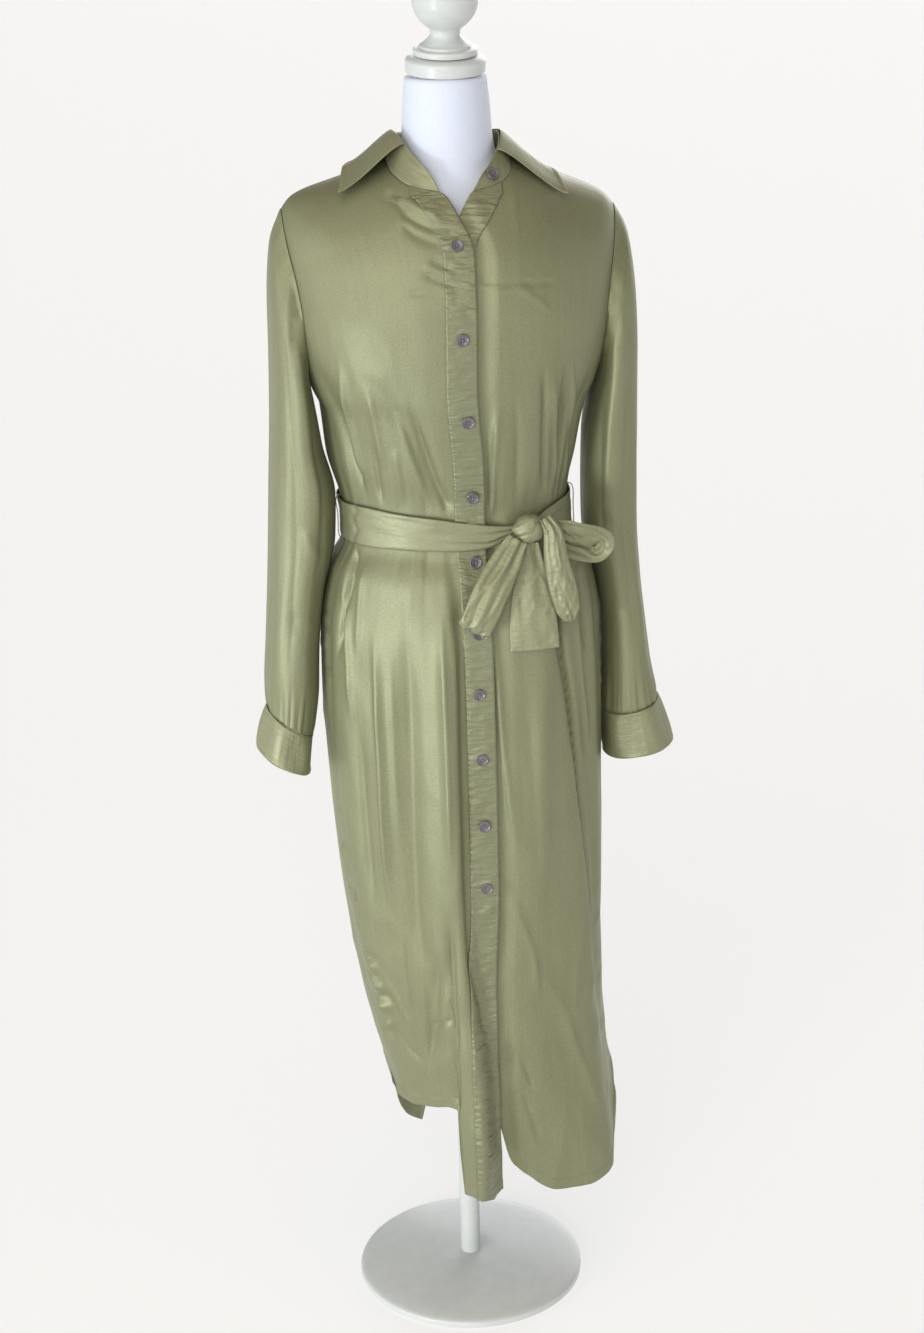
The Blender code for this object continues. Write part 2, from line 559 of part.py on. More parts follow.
def back_grid(columns):
    """Turn and height grids of the back panel."""
    share = np.linspace(0.0, 1.0, columns)[None, :]
    nominal = np.array(ROW_HEIGHTS)[:, None]
    low = read(BACK_HEM, "height", 90.0 + 180.0 * share)
    height = follow_hem(nominal, low)
    side = np.where(height <= ARMPIT, 90.0, read(ARMHOLE, "back_turn", height)) + SIDE_SEAM_TURN
    turn = side + (360.0 - 2.0 * side) * share
    top = back_top(turn)
    stretch = (height - NECK_SPLIT) / (SHOULDER_TOP - NECK_SPLIT)
    height = np.where(height > NECK_SPLIT, NECK_SPLIT + (top - NECK_SPLIT) * stretch, height)
    return turn, height


def build_back(cloth, collection):
    """The back panel, from one side seam to the other and up to the neckline."""
    turn, height = back_grid(columns=25)
    add_wall("back", body_point(turn, height), WALL, cloth, collection)


# ---------------------------------------------------------------- sleeves and cuffs
def armhole_loop(side, columns):
    """Points round an armhole, evenly spaced, from the shoulder down the front."""
    rise = np.linspace(ARMPIT, SHOULDER_TOP, 40)
    front = body_point(side * read(ARMHOLE, "front_turn", rise), rise)
    back = body_point(side * read(ARMHOLE, "back_turn", rise), rise)
    loop = np.concatenate([front[::-1], back[1:]])
    run = np.concatenate([[0.0], np.cumsum(np.linalg.norm(np.diff(loop, axis=0), axis=1))])
    at = np.arange(columns) / columns * run[-1]
    return np.stack([np.interp(at, run, loop[:, axis]) for axis in range(3)], axis=-1)


def section(table, side, along, round_turn):
    """Ring of a sleeve or cuff: an ellipse between its inner and outer point.

    along is the row number of the table, and round_turn is 0 at the outer or top
    point and 90 degrees at the front.
    """
    rows = np.arange(len(table) - 1, dtype=float)
    size = {name: eased(rows, column(table, name), along) for name in table[0]}
    cosine, sine = np.cos(np.radians(round_turn)), np.sin(np.radians(round_turn))
    x = (size["inner_x"] + size["outer_x"]) / 2 + (size["outer_x"] - size["inner_x"]) / 2 * cosine
    z = (size["inner_z"] + size["outer_z"]) / 2 + (size["outer_z"] - size["inner_z"]) / 2 * cosine
    y = size["y"] - size["half_depth"] * sine
    return np.stack(np.broadcast_arrays(side * x, y, z), axis=-1)


def sleeve_points(table, side, rows, columns):
    """Sleeve face: the armhole's own loop, easing into the sleeve's sections."""
    round_turn = np.arange(columns)[None, :] * 360.0 / columns
    along = (np.linspace(0.0, 1.0, rows) ** 1.15 * (len(table) - 2))[:, None]
    loop = armhole_loop(side, columns)[None]
    own_shape = loop - section(table, side, np.zeros((1, 1)), round_turn)
    fade = 1.0 - soft_step(along / 2.2)
    points = section(table, side, along, round_turn) + own_shape * fade[..., None]
    leaving = points[1] - points[0]
    leaving /= np.linalg.norm(leaving, axis=-1, keepdims=True)
    points[0] += leaving * 3.0 * SEAM_GAP
    return points


def build_sleeves(cloth, trim, collection):
    """Two hanging sleeves with a cuff below each."""
    sides = (("right", -1.0, SLEEVE_RIGHT, CUFF_RIGHT), ("left", 1.0, SLEEVE_LEFT, CUFF_LEFT))
    for name, side, sleeve_table, cuff_table in sides:
        points = sleeve_points(sleeve_table, side, rows=15, columns=18)
        cuff_rows = np.linspace(0.0, len(cuff_table) - 2, 3)[:, None]
        cuff = section(cuff_table, side, cuff_rows, np.arange(18)[None, :] * 20.0)
        if side < 0:
            points, cuff = points[:, ::-1], cuff[:, ::-1]
        add_wall(f"{name}_sleeve", points, WALL, cloth, collection, wrap=True)
        add_wall(f"{name}_cuff", cuff, CUFF_WALL, trim, collection, wrap=True)


# ---------------------------------------------------------------- collar
def mirrored_curve(table, along):
    """A curve given on the wearer's left, read from -1 (right end) to +1 (left end)."""
    reach = np.abs(along)
    x = read(table, "x", reach) * np.sign(along)
    lean = COLLAR_LEAN * soft_step((reach - 0.30) / 0.40)
    z = read(table, "z", reach) - lean * np.clip(x, -0.057, 0.057)
    return np.stack([x, read(table, "y", reach), z], axis=-1)


def neck_seam(along):
    """The neckline, from the right front (-1) round the back (0) to the left front (+1)."""
    reach = np.abs(along)
    side = np.where(along < 0, -1.0, 1.0)
    front_share = np.clip((reach - 0.5) / 0.5, 0.0, 1.0)
    rise = SHOULDER_TOP - (SHOULDER_TOP - NECK_FRONT) * front_share ** 0.8
    edge_x = side * read(FRONT_EDGE, "band_x", rise)
    front = body_point(turn_at(edge_x, rise), rise)
    back_x = HIGH_SHOULDER_X * np.clip(reach / 0.5, 0.0, 1.0)
    back_turn = 180.0 - side * turn_at(back_x, np.full(reach.shape, SHOULDER_TOP))
    back = body_point(back_turn, back_top(back_turn))
    return np.where((reach > 0.5)[..., None], front, back)


def build_collar(trim, collection):
    """The stand round the neck, and the leaf that falls over it to two points."""
    along = np.linspace(-1.0, 1.0, 29)
    foot, top = neck_seam(along), mirrored_curve(COLLAR_FOLD, along)
    rise = (top - foot) / np.linalg.norm(top - foot, axis=-1, keepdims=True)
    foot = foot + rise * STAND_FOOT
    levels = np.linspace(0.0, 1.0, 3)[:, None, None]
    stand = foot[None] + (top - foot)[None] * levels
    add_wall("collar_stand", stand[:, ::-1], TRIM_WALL, trim, collection)

    along = np.linspace(-1.0, 1.0, 27)
    fold = mirrored_curve(COLLAR_FOLD, along * LEAF_START)
    edge = mirrored_curve(LEAF_EDGE, along)
    outward = (edge - fold) * np.array([1.0, 1.0, 0.0])
    outward /= np.linalg.norm(outward, axis=-1, keepdims=True)
    fold = fold + np.array([0.0, 0.0, LEAF_RISE]) + outward * LEAF_OUT
    levels = np.array([0.0, 0.12, 0.35, 0.65, 1.0])[:, None]
    leaf = fold[None] + (edge - fold)[None] * levels[..., None]
    leaf[..., 2] = fold[:, 2] + (edge - fold)[:, 2] * (1.0 - (1.0 - levels) ** 1.6)
    bulge = np.sin(np.pi * levels ** 0.6) * (LEAF_BULGE + POINT_BULGE * along ** 2)
    leaf = leaf + bulge[..., None] * (outward * 0.6 + np.array([0.0, 0.0, 0.8]))
    add_wall("collar_leaf", leaf, TRIM_WALL, trim, collection)


# ---------------------------------------------------------------- belt and bow
def build_belt(trim, collection):
    """The tie belt: a closed band over the gathered waist."""
    columns = 48
    turn = (np.arange(columns) * 360.0 / columns)[None, :]
    height = WAIST + np.linspace(-0.5, 0.5, 3)[:, None] * BELT_WIDTH
    distance = np.full((3, columns), 2.0 * TRIM_WALL + BELT_CLEARANCE)
    face = moved_out(body_point, turn + 0.0 * height, height + 0.0 * turn, distance)
    add_wall("belt", face, TRIM_WALL, trim, collection, wrap=True)


def ribbon(path, samples, across=3):
    """A band of cloth along a path: rows of (x, y, z, half width, lean, cup).

    The band's width lies in the X-Z plane at right angles to the path and leans
    towards -Y or +Y by `lean`; `cup` bows its middle forward.
    """
    rows = np.arange(len(path) - 1, dtype=float)
    at = np.linspace(0.0, rows[-1], samples)
    place = np.stack([eased(rows, column(path, name), at) for name in ("x", "y", "z")], axis=-1)
    half, lean, cup = (eased(rows, column(path, name), at) for name in ("half", "lean", "cup"))
    heading = np.gradient(place, axis=0)
    heading /= np.linalg.norm(heading, axis=-1, keepdims=True)
    side = np.stack([heading[:, 2], np.zeros(samples), -heading[:, 0]], axis=-1)
    side /= np.maximum(np.linalg.norm(side, axis=-1, keepdims=True), 1e-6)
    side = side * np.cos(lean)[:, None] + np.array([0.0, 1.0, 0.0]) * np.sin(lean)[:, None]
    share = np.linspace(-1.0, 1.0, across)
    points = place[:, None] + side[:, None] * (half[:, None] * share[None])[..., None]
    points[..., 1] -= cup[:, None] * (1.0 - share[None] ** 2)
    return points


RIBBON_COLUMNS = ("x", "y", "z", "half", "lean", "cup")
LOW_LOOP = (
    # the loop that hangs down over the placket: out along the front, back behind itself
    RIBBON_COLUMNS,
    (0.0543, -0.1165, 0.9974, 0.0110, 0.0, 0.003),
    (0.0393, -0.1240, 0.9731, 0.0170, 0.0, 0.004),
    (0.0210, -0.1360, 0.9427, 0.0200, 0.0, 0.004),
    (0.0052, -0.1430, 0.9119, 0.0190, 0.0, 0.002),
    (0.0002, -0.1400, 0.9029, 0.0185, 0.0, 0.000),
    (0.0070, -0.1355, 0.9114, 0.0180, 0.0, 0.000),
    (0.0252, -0.1280, 0.9390, 0.0170, 0.0, 0.000),
    (0.0424, -0.1170, 0.9688, 0.0130, 0.0, 0.000),
    (0.0521, -0.1125, 0.9847, 0.0090, 0.0, 0.000),
)
SIDE_LOOP = (
    # the small loop that stands out past the hip
    RIBBON_COLUMNS,
    (0.0875, -0.1100, 1.0071, 0.0080, 0.2, 0.001),
    (0.1011, -0.1095, 1.0040, 0.0120, 0.3, 0.002),
    (0.1218, -0.1080, 0.9979, 0.0150, 0.4, 0.002),
    (0.1420, -0.1030, 0.9896, 0.0160, 0.4, 0.000),
    (0.1499, -0.0975, 0.9817, 0.0160, 0.4, 0.000),
    (0.1432, -0.0940, 0.9732, 0.0150, 0.3, 0.000),
    (0.1223, -0.0960, 0.9759, 0.0130, 0.3, 0.000),
    (0.1016, -0.0975, 0.9871, 0.0100, 0.2, 0.000),
    (0.0888, -0.1000, 0.9945, 0.0070, 0.2, 0.000),
)
WIDE_TAIL = (
    # the end that hangs flat in front of the hip, down to its hem
    RIBBON_COLUMNS,
    (0.0678, -0.1080, 0.9894, 0.0105, 0.0, 0.001),
    (0.0691, -0.1095, 0.9617, 0.0160, 0.0, 0.002),
    (0.0696, -0.1175, 0.9305, 0.0230, 0.0, 0.003),
    (0.0698, -0.1245, 0.9010, 0.0265, 0.0, 0.003),
    (0.0708, -0.1275, 0.8719, 0.0275, 0.0, 0.002),
)
NARROW_TAIL = (
    # the end that comes over the knot and hangs down to its point
    RIBBON_COLUMNS,
    (0.0849, -0.1170, 1.0198, 0.0060, 0.0, 0.001),
    (0.0925, -0.1220, 1.0053, 0.0100, 0.0, 0.004),
    (0.0956, -0.1235, 0.9751, 0.0130, 0.0, 0.006),
    (0.1019, -0.1245, 0.9442, 0.0150, 0.0, 0.006),
    (0.1080, -0.1245, 0.9160, 0.0130, 0.0, 0.005),
    (0.1099, -0.1240, 0.9021, 0.0060, 0.0, 0.002),
)
KNOT_PLACE = (0.0680, -0.1103, 1.0060)
KNOT_SIZE = (0.0190, 0.0120, 0.0165)


def build_bow(trim, collection):
    """The tied knot, its two loops and its two ends."""
    mesh = bpy.data.meshes.new("belt_knot")
    shape = bmesh.new()
    bmesh.ops.create_uvsphere(shape, u_segments=16, v_segments=10, radius=1.0)
    for vertex in shape.verts:
        vertex.co = [vertex.co[i] * KNOT_SIZE[i] for i in range(3)]
    shape.to_mesh(mesh)
    shape.free()
    knot = add_object("belt_knot", mesh, trim, collection)
    knot.location = KNOT_PLACE
    pieces = (("bow_low_loop", LOW_LOOP, 20), ("bow_side_loop", SIDE_LOOP, 18),
              ("belt_wide_end", WIDE_TAIL, 9), ("belt_narrow_end", NARROW_TAIL, 10))
    for name, path, samples in pieces:
        add_wall(name, ribbon(path, samples, across=4), RIBBON_WALL, trim, collection, offset=0.0)


# ---------------------------------------------------------------- buttons
def button_profile():
    """A flat button with a raised rim, from the axis at the top to the axis below."""
    rim, well = BUTTON_THICKNESS, BUTTON_THICKNESS * BUTTON_WELL
    return (("radius", "height"), (0.0, well), (BUTTON_RADIUS * 0.60, well),
            (BUTTON_RADIUS * 0.74, rim), (BUTTON_RADIUS * 0.93, rim * 0.93),
            (BUTTON_RADIUS, rim * 0.55), (BUTTON_RADIUS * 0.80, 0.0), (0.0, 0.0))


def place_on(thing, point, normal):
    """Sets an object's +Z along the outward normal at a point."""
    normal = normal / np.linalg.norm(normal)
    thing.location = point
    pitch = math.acos(max(-1.0, min(1.0, normal[2])))
    thing.rotation_euler = (0.0, pitch, math.atan2(normal[1], normal[0]))


def add_button(name, face, turn, height, distance, horn, collection):
    """A button that lies on a face, moved out by a distance."""
    at, up = np.array(float(turn)), np.array(float(height))
    outer = moved_out(face, at, up, np.array(distance))
    button = add_turned(name, button_profile(), horn, collection, steps=12)
    place_on(button, outer, outer - face(at, up))


def build_buttons(horn, collection):
    """Ten front buttons on the placket, one on the stand and one on each cuff."""
    for number, (x, height, lift) in enumerate(BUTTON_SPOTS[1:], start=1):
        turn = turn_at(np.array(x), np.array(height))
        off = STRIP_GAP + TRIM_WALL + lift
        add_button(f"button_{number:02d}", right_face, turn, height, off, horn, collection)
    for name, side, table in (("right", -1.0, CUFF_RIGHT), ("left", 1.0, CUFF_LEFT)):
        def face(turn, down, table=table, side=side):
            return section(table, side, down * CUFF_ROWS_PER_METRE, side * turn)
        add_button(f"{name}_cuff_button", face, CUFF_BUTTON_TURN * side, CUFF_BUTTON_DOWN,
                   0.5 * SEAM_GAP, horn, collection)
    stand = stand_button_place()
    button = add_turned("stand_button", button_profile(), horn, collection, steps=12)
    place_on(button, *stand)


def stand_button_place():
    """The collar button, outside the stand's left end."""
    along = np.array([0.88, 0.92])
    foot, top = neck_seam(along), mirrored_curve(COLLAR_FOLD, along)
    middle = (foot + top) / 2
    normal = np.cross(middle[1] - middle[0], top[0] - foot[0])
    normal /= np.linalg.norm(normal)
    if normal[1] > 0:
        normal = -normal
    return middle[0] + normal * 2.0 * SEAM_GAP, normal


# ---------------------------------------------------------------- the dress form
def build_form(form_white, paint, collection):
    """The limbless figure, its cap and finial, and the pole and base that carry it."""
    columns = 28
    turn = np.arange(columns) * 2.0 * math.pi / columns
    sine, cosine = np.sin(turn)[None, :], np.cos(turn)[None, :]
    size = {name: column(FORM, name)[:, None] for name in FORM[0]}
    under_cloth = SHOULDER_TOP - read(SHOULDER, "drop", size["half_width"]) - FORM_CLEARANCE
    side_z = np.where(size["side_z"] > 0, size["side_z"], under_cloth)
    depth = np.where(cosine >= 0, size["front_depth"], size["back_depth"])
    level = np.where(cosine >= 0, size["front_z"], size["back_z"])
    x = size["half_width"] * sine
    z = side_z + (level - side_z) * np.abs(cosine)
    rings = np.stack(np.broadcast_arrays(x, -depth * cosine, z), axis=-1)
    add_loft("form_torso", rings, form_white, collection)

    top = bpy.data.objects.new("neck_top", None)
    collection.objects.link(top)
    top.location = (0.0, 0.0, NECK_TOP + CAP_LIFT)
    top.rotation_euler = (math.radians(CAP_TILT), 0.0, 0.0)
    for name, profile in (("neck_cap", CAP_PROFILE), ("finial", FINIAL_PROFILE)):
        add_turned(name, profile, paint, collection, steps=22).parent = top

    bpy.ops.mesh.primitive_cylinder_add(
        vertices=20, radius=POLE_RADIUS, depth=FORM_BOTTOM - BASE_HEIGHT - 2 * SEAM_GAP,
        location=(0.0, 0.0, (FORM_BOTTOM + BASE_HEIGHT) / 2))
    pole = bpy.context.object
    pole.name = "pole"
    pole.data.materials.append(paint)
    for other in list(pole.users_collection):
        other.objects.unlink(pole)
    collection.objects.link(pole)
    add_turned("base", BASE_PROFILE, paint, collection, steps=26)


def main():
    """Builds the dress and its form."""
    for thing in list(bpy.data.objects):
        bpy.data.objects.remove(thing)
    collection = bpy.data.collections.new("shirt_dress_on_form")
    bpy.context.scene.collection.children.link(collection)
    cloth = plain_material("olive_satin", OLIVE, 0.42)
    trim = plain_material("olive_satin_trim", OLIVE_TRIM, 0.45)
    horn = plain_material("horn_button", HORN, 0.30)
    form_white = plain_material("form_white", FORM_WHITE, 0.55)
    paint = plain_material("painted_wood", PAINT_WHITE, 0.35)
    build_fronts(cloth, trim, collection)
    build_back(cloth, collection)
    build_sleeves(cloth, trim, collection)
    build_collar(trim, collection)
    build_belt(trim, collection)
    build_bow(trim, collection)
    build_buttons(horn, collection)
    build_form(form_white, paint, collection)


main()
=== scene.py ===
"""Olive satin shirt dress, belted, on a limbless dress form: its finished look.

Metres, +Z up, the wearer's front towards -Y and the wearer's left towards +X. Only the
tables are written in millimetres, and they are read in metres. The cloth follows the
same family of body rings as the solids do: a point of the dress is given by its turn
round the body (degrees, 0 at the front, +90 at the wearer's left) and its ring height.
Creases, gathers and puckers are pushes along the cloth's own normal.
"""

from __future__ import annotations

import logging
import math
from collections.abc import Callable, Sequence
from dataclasses import dataclass, field
from enum import Enum

import bpy
import numpy as np
from mathutils import Matrix, Vector

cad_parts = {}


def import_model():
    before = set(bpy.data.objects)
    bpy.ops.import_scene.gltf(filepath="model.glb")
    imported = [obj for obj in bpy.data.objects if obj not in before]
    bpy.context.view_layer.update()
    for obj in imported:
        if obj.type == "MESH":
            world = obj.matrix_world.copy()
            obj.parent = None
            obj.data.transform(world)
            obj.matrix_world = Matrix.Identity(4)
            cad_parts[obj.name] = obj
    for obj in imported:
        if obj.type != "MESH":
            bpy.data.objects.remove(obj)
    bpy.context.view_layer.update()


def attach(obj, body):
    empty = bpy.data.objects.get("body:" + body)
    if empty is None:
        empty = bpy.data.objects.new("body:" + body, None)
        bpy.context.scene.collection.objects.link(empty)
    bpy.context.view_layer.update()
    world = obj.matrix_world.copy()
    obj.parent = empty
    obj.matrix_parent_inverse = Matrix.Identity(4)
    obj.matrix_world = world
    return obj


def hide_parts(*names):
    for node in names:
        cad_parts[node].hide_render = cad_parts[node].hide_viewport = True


LOG = logging.getLogger("shirt_dress")
Array = np.ndarray
Face = Callable[[Array, Array], Array]
Triple = tuple[float, float, float]

ROOT_BODY = "root"
PER_METRE = 1000.0
NOT_LENGTHS = ("turn", "front_turn", "back_turn", "top_turn", "low_turn", "spread", "open_end", "along",
               "lean")


# ------------------------------------------------------------------ tables and curves
@dataclass(frozen=True)
class Table:
    """A short table with named columns, read smoothly down its first column.

    Its lengths are written in millimetres and read in metres. The columns that are no
    lengths (turns in degrees, shares and leans) are read as they are written.
    """

    columns: tuple[str, ...]
    rows: tuple[tuple[float, ...], ...]

    @property
    def last(self) -> int:
        """Number of the last row."""
        return len(self.rows) - 1

    def column(self, name: str) -> Array:
        """One named column as an array."""
        place = self.columns.index(name)
        values = np.array([row[place] for row in self.rows], dtype=float)
        return values if name in NOT_LENGTHS else values / PER_METRE

    def read(self, name: str, at: Array | float) -> Array:
        """A named column, eased between the rows.

        Args:
            name: the column to read.
            at: values of the first column.

        Returns:
            The column's values, flat beyond the table's ends.
        """
        return eased(self.column(self.columns[0]), self.column(name), at)

    def by_row(self, name: str, row: Array | float) -> Array:
        """A named column, eased over the row numbers 0, 1, 2 and so on."""
        return eased(np.arange(len(self.rows), dtype=float), self.column(name), row)


def eased(keys: Array, values: Array, at: Array | float) -> Array:
    """Monotone cubic interpolation: Hermite spans with harmonic-mean tangents.

    Args:
        keys: increasing places of the values.
        values: the values at those places.
        at: where to read the curve.

    Returns:
        The eased values, held flat beyond the first and last key.
    """
    at = np.clip(at, keys[0], keys[-1])
    step = np.diff(keys)
    slope = np.diff(values) / step
    tangent = np.zeros(len(keys))
    both = slope[:-1] * slope[1:] > 0
    mean = 2.0 * slope[:-1] * slope[1:]
    tangent[1:-1][both] = mean[both] / (slope[:-1] + slope[1:])[both]
    tangent[0], tangent[-1] = slope[0], slope[-1]
    low = np.clip(np.searchsorted(keys, at, side="right") - 1, 0, len(keys) - 2)
    share = (at - keys[low]) / step[low]
    square, cube = share ** 2, share ** 3
    return ((2 * cube - 3 * square + 1) * values[low]
            + (cube - 2 * square + share) * step[low] * tangent[low]
            + (3 * square - 2 * cube) * values[low + 1]
            + (cube - square) * step[low] * tangent[low + 1])


def even_turns(count: int) -> Array:
    """Angles in radians that share a full turn evenly, from 0."""
    return np.arange(count) * 2.0 * math.pi / count


def run_along(line: Array) -> Array:
    """Metres along a line at each of its points: the running sum of its spans."""
    return np.concatenate([[0.0], np.cumsum(np.linalg.norm(np.diff(line, axis=0), axis=1))])


def read_line(line: Array, run: Array, at: Array) -> Array:
    """A line's points between its own ones, at places along its run."""
    return np.stack([np.interp(at, run, line[:, axis]) for axis in range(3)], axis=-1)


def wrapped_turn(turn: Array) -> Array:
    """Turns in degrees brought between -180 and 180."""
    return (turn + 180.0) % 360.0 - 180.0


def bell(away: Array, width: float, power: float = 2.0) -> Array:
    """A bell that is 1 in the middle: exp(-|away / width|^power)."""
    return np.exp(-np.abs(away / width) ** power)


def soft_step(share: Array | float) -> Array:
    """Smooth step: 3s^2 - 2s^3 with s held between 0 and 1."""
    share = np.clip(share, 0.0, 1.0)
    return share * share * (3.0 - 2.0 * share)


def unit(vectors: Array) -> Array:
    """Vectors divided by their own length."""
    return vectors / np.maximum(np.linalg.norm(vectors, axis=-1, keepdims=True), 1e-12)


def smooth_noise(across: Array, along: Array, seed: int) -> Array:
    """Value noise on a unit lattice, blended by smooth steps.

    Each lattice corner takes a hashed value between -1 and 1 (the fraction of a large
    sine), and the four corners round a point are mixed by the smooth step of its
    place in the cell.

    Args:
        across: first coordinate, in lattice cells.
        along: second coordinate, in lattice cells.
        seed: picks one pattern.

    Returns:
        Noise between about -1 and 1.
    """
    cell_x, cell_y = np.floor(across), np.floor(along)
    mix_x, mix_y = soft_step(across - cell_x), soft_step(along - cell_y)

    def corner(x: Array, y: Array) -> Array:
        """Hashed value of a lattice corner."""
        value = np.sin(x * 127.1 + y * 311.7 + seed * 74.7) * 43758.5453
        return 2.0 * (value - np.floor(value)) - 1.0

    low = corner(cell_x, cell_y) * (1 - mix_x) + corner(cell_x + 1, cell_y) * mix_x
    high = corner(cell_x, cell_y + 1) * (1 - mix_x) + corner(cell_x + 1, cell_y + 1) * mix_x
    return low * (1 - mix_y) + high * mix_y


# ------------------------------------------------------------------ creases and puckers
CREASE_POWER = 1.4
CREASE_REACH = 2.6


@dataclass(frozen=True)
class Crease:
    """A ridge (out above 0) or trough (out below 0) that runs down a path on the cloth.

    The push is out * exp(-(d / width)^1.4), where d is the distance to the path and the
    width is one value on the wearer's-left side of it and another on the right, so a
    fold can have one steep and one soft flank. It fades in over `head` of its length
    and out over `foot` of it.
    """

    path: tuple[tuple[float, float], ...]
    out: float
    right: float
    left: float
    head: float = 0.3
    foot: float = 0.3


@dataclass(frozen=True)
class Pucker:
    """Small uneven ripples that cross a path, as a seam's thread draws them up.

    The push is out * n * exp(-(d / reach)^2), where n is smooth noise of the run along
    the path over `pitch` and d is the distance to the path.
    """

    path: tuple[tuple[float, float], ...]
    out: float
    reach: float
    pitch: float
    seed: int = 1
    head: float = 0.12
    foot: float = 0.12


BY_X = (PER_METRE, PER_METRE)
BY_TURN = (1.0, PER_METRE)
BY_ROW = (1.0, 1.0)


def marks_of(kind: type[Crease] | type[Pucker], divide: tuple[float, float],
             rows: Sequence[tuple]) -> tuple[Crease | Pucker, ...]:
    """Creases or puckers from rows that are written in millimetres.

    Args:
        kind: Crease or Pucker.
        divide: what the two coordinates of the paths are divided by.
        rows: a path, the kind's three lengths, and its other values.

    Returns:
        One mark for each row.
    """
    marks = []
    for path, first, second, third, *others in rows:
        spots = tuple((one / divide[0], two / divide[1]) for one, two in path)
        marks.append(kind(spots, first / PER_METRE, second / PER_METRE, third / PER_METRE, *others))
    return tuple(marks)


def path_on(place: Face, path: Sequence[tuple[float, float]], samples: int = 26) -> Array:
    """A smooth path on a face, through its named points.

    Args:
        place: gives a point of the face from two coordinates.
        path: the two coordinates of each named point.
        samples: points on the finished path.

    Returns:
        The path's points, shape (samples, 3).
    """
    knots = np.arange(len(path), dtype=float)
    at = np.linspace(0.0, knots[-1], samples)
    first = eased(knots, np.array([spot[0] for spot in path]), at)
    second = eased(knots, np.array([spot[1] for spot in path]), at)
    return place(first, second)


def beside_path(points: Array, normals: Array, path: Array) -> tuple[Array, Array, Array]:
    """How each point lies to a path: distance, share of the run and signed side.

    The nearest point of each straight span is found by projection, and the nearest
    span is kept.

    Args:
        points: points to measure, shape (n, 3).
        normals: outward normals there, shape (n, 3).
        path: the path's points, shape (m, 3).

    Returns:
        Distance to the path, run along it in metres, and a side that is above 0 to
        the wearer's left of a path that runs down the front.
    """
    start, span = path[:-1], np.diff(path, axis=0)
    length = np.linalg.norm(span, axis=1)
    offset = points[:, None] - start[None]
    share = np.clip(np.einsum("nmk,mk->nm", offset, span) / length ** 2, 0.0, 1.0)
    gap = offset - share[..., None] * span[None]
    distance = np.linalg.norm(gap, axis=2)
    nearest = np.argmin(distance, axis=1)
    pick = np.arange(len(points))
    along = run_along(path)[nearest] + share[pick, nearest] * length[nearest]
    cross = np.cross(span[nearest], gap[pick, nearest])
    side = np.einsum("nk,nk->n", cross, normals)
    return distance[pick, nearest], along, side


def worked_push(points: Array, normals: Array, place: Face,
                marks: Sequence[Crease | Pucker]) -> Array:
    """Sum of all creases and puckers on a grid of points.

    Args:
        points: the plain face, shape (rows, columns, 3).
        normals: its outward normals.
        place: the face that the marks' paths are read on.
        marks: creases and puckers.

    Returns:
        The push along the normal, shape (rows, columns).
    """
    flat, facing = points.reshape(-1, 3), normals.reshape(-1, 3)
    push = np.zeros(len(flat))
    for mark in marks:
        path = path_on(place, mark.path)
        width = mark.reach if isinstance(mark, Pucker) else max(mark.right, mark.left)
        low, high = path.min(axis=0), path.max(axis=0)
        reach = CREASE_REACH * width
        near = np.flatnonzero(np.all((flat > low - reach) & (flat < high + reach), axis=1))
        if not len(near):
            continue
        distance, along, side = beside_path(flat[near], facing[near], path)
        total = run_along(path)[-1]
        fade = np.ones(len(near))
        if mark.head:
            fade = fade * soft_step(along / (mark.head * total))
        if mark.foot:
            fade = fade * soft_step((total - along) / (mark.foot * total))
        if isinstance(mark, Pucker):
            ripple = smooth_noise(along / mark.pitch, distance / (1.6 * mark.pitch), mark.seed)
            push[near] += mark.out * ripple * bell(distance, mark.reach) * fade
        else:
            spread = np.where(side > 0, mark.left, mark.right)
            push[near] += mark.out * bell(distance, spread, CREASE_POWER) * fade
    return push.reshape(points.shape[:2])


# ------------------------------------------------------------------ meshes
def grid_faces(rows: int, columns: int, wrap: bool) -> Array:
    """Corner numbers of a grid's quads.

    Args:
        rows: rows of points.
        columns: points in a row.
        wrap: joins the last column to the first.

    Returns:
        Shape (quads, 4).
    """
    row = np.arange(rows - 1)[:, None]
    col = np.arange(columns if wrap else columns - 1)[None, :]
    after = (col + 1) % columns
    quads = [row * columns + col, row * columns + after,
             (row + 1) * columns + after, (row + 1) * columns + col]
    return np.stack(np.broadcast_arrays(*quads), axis=-1).reshape(-1, 4)


def grid_normals(points: Array, wrap: bool = False) -> Array:
    """Unit normals of a grid: the cross product of its two central differences.

    Args:
        points: shape (rows, columns, 3), with rows going up and columns going towards
            the wearer's left across the front.
        wrap: the columns close into a ring.

    Returns:
        Normals that point away from the body.
    """
    if wrap:
        across = np.roll(points, -1, axis=1) - np.roll(points, 1, axis=1)
    else:
        across = np.gradient(points, axis=1)
    return unit(np.cross(across, np.gradient(points, axis=0)))


def normals_of(points: Array, flip: bool) -> Array:
    """Outward normals of a grid, with flip where its columns run to the wearer's right."""
    return grid_normals(points[:, ::-1])[:, ::-1] if flip else grid_normals(points)


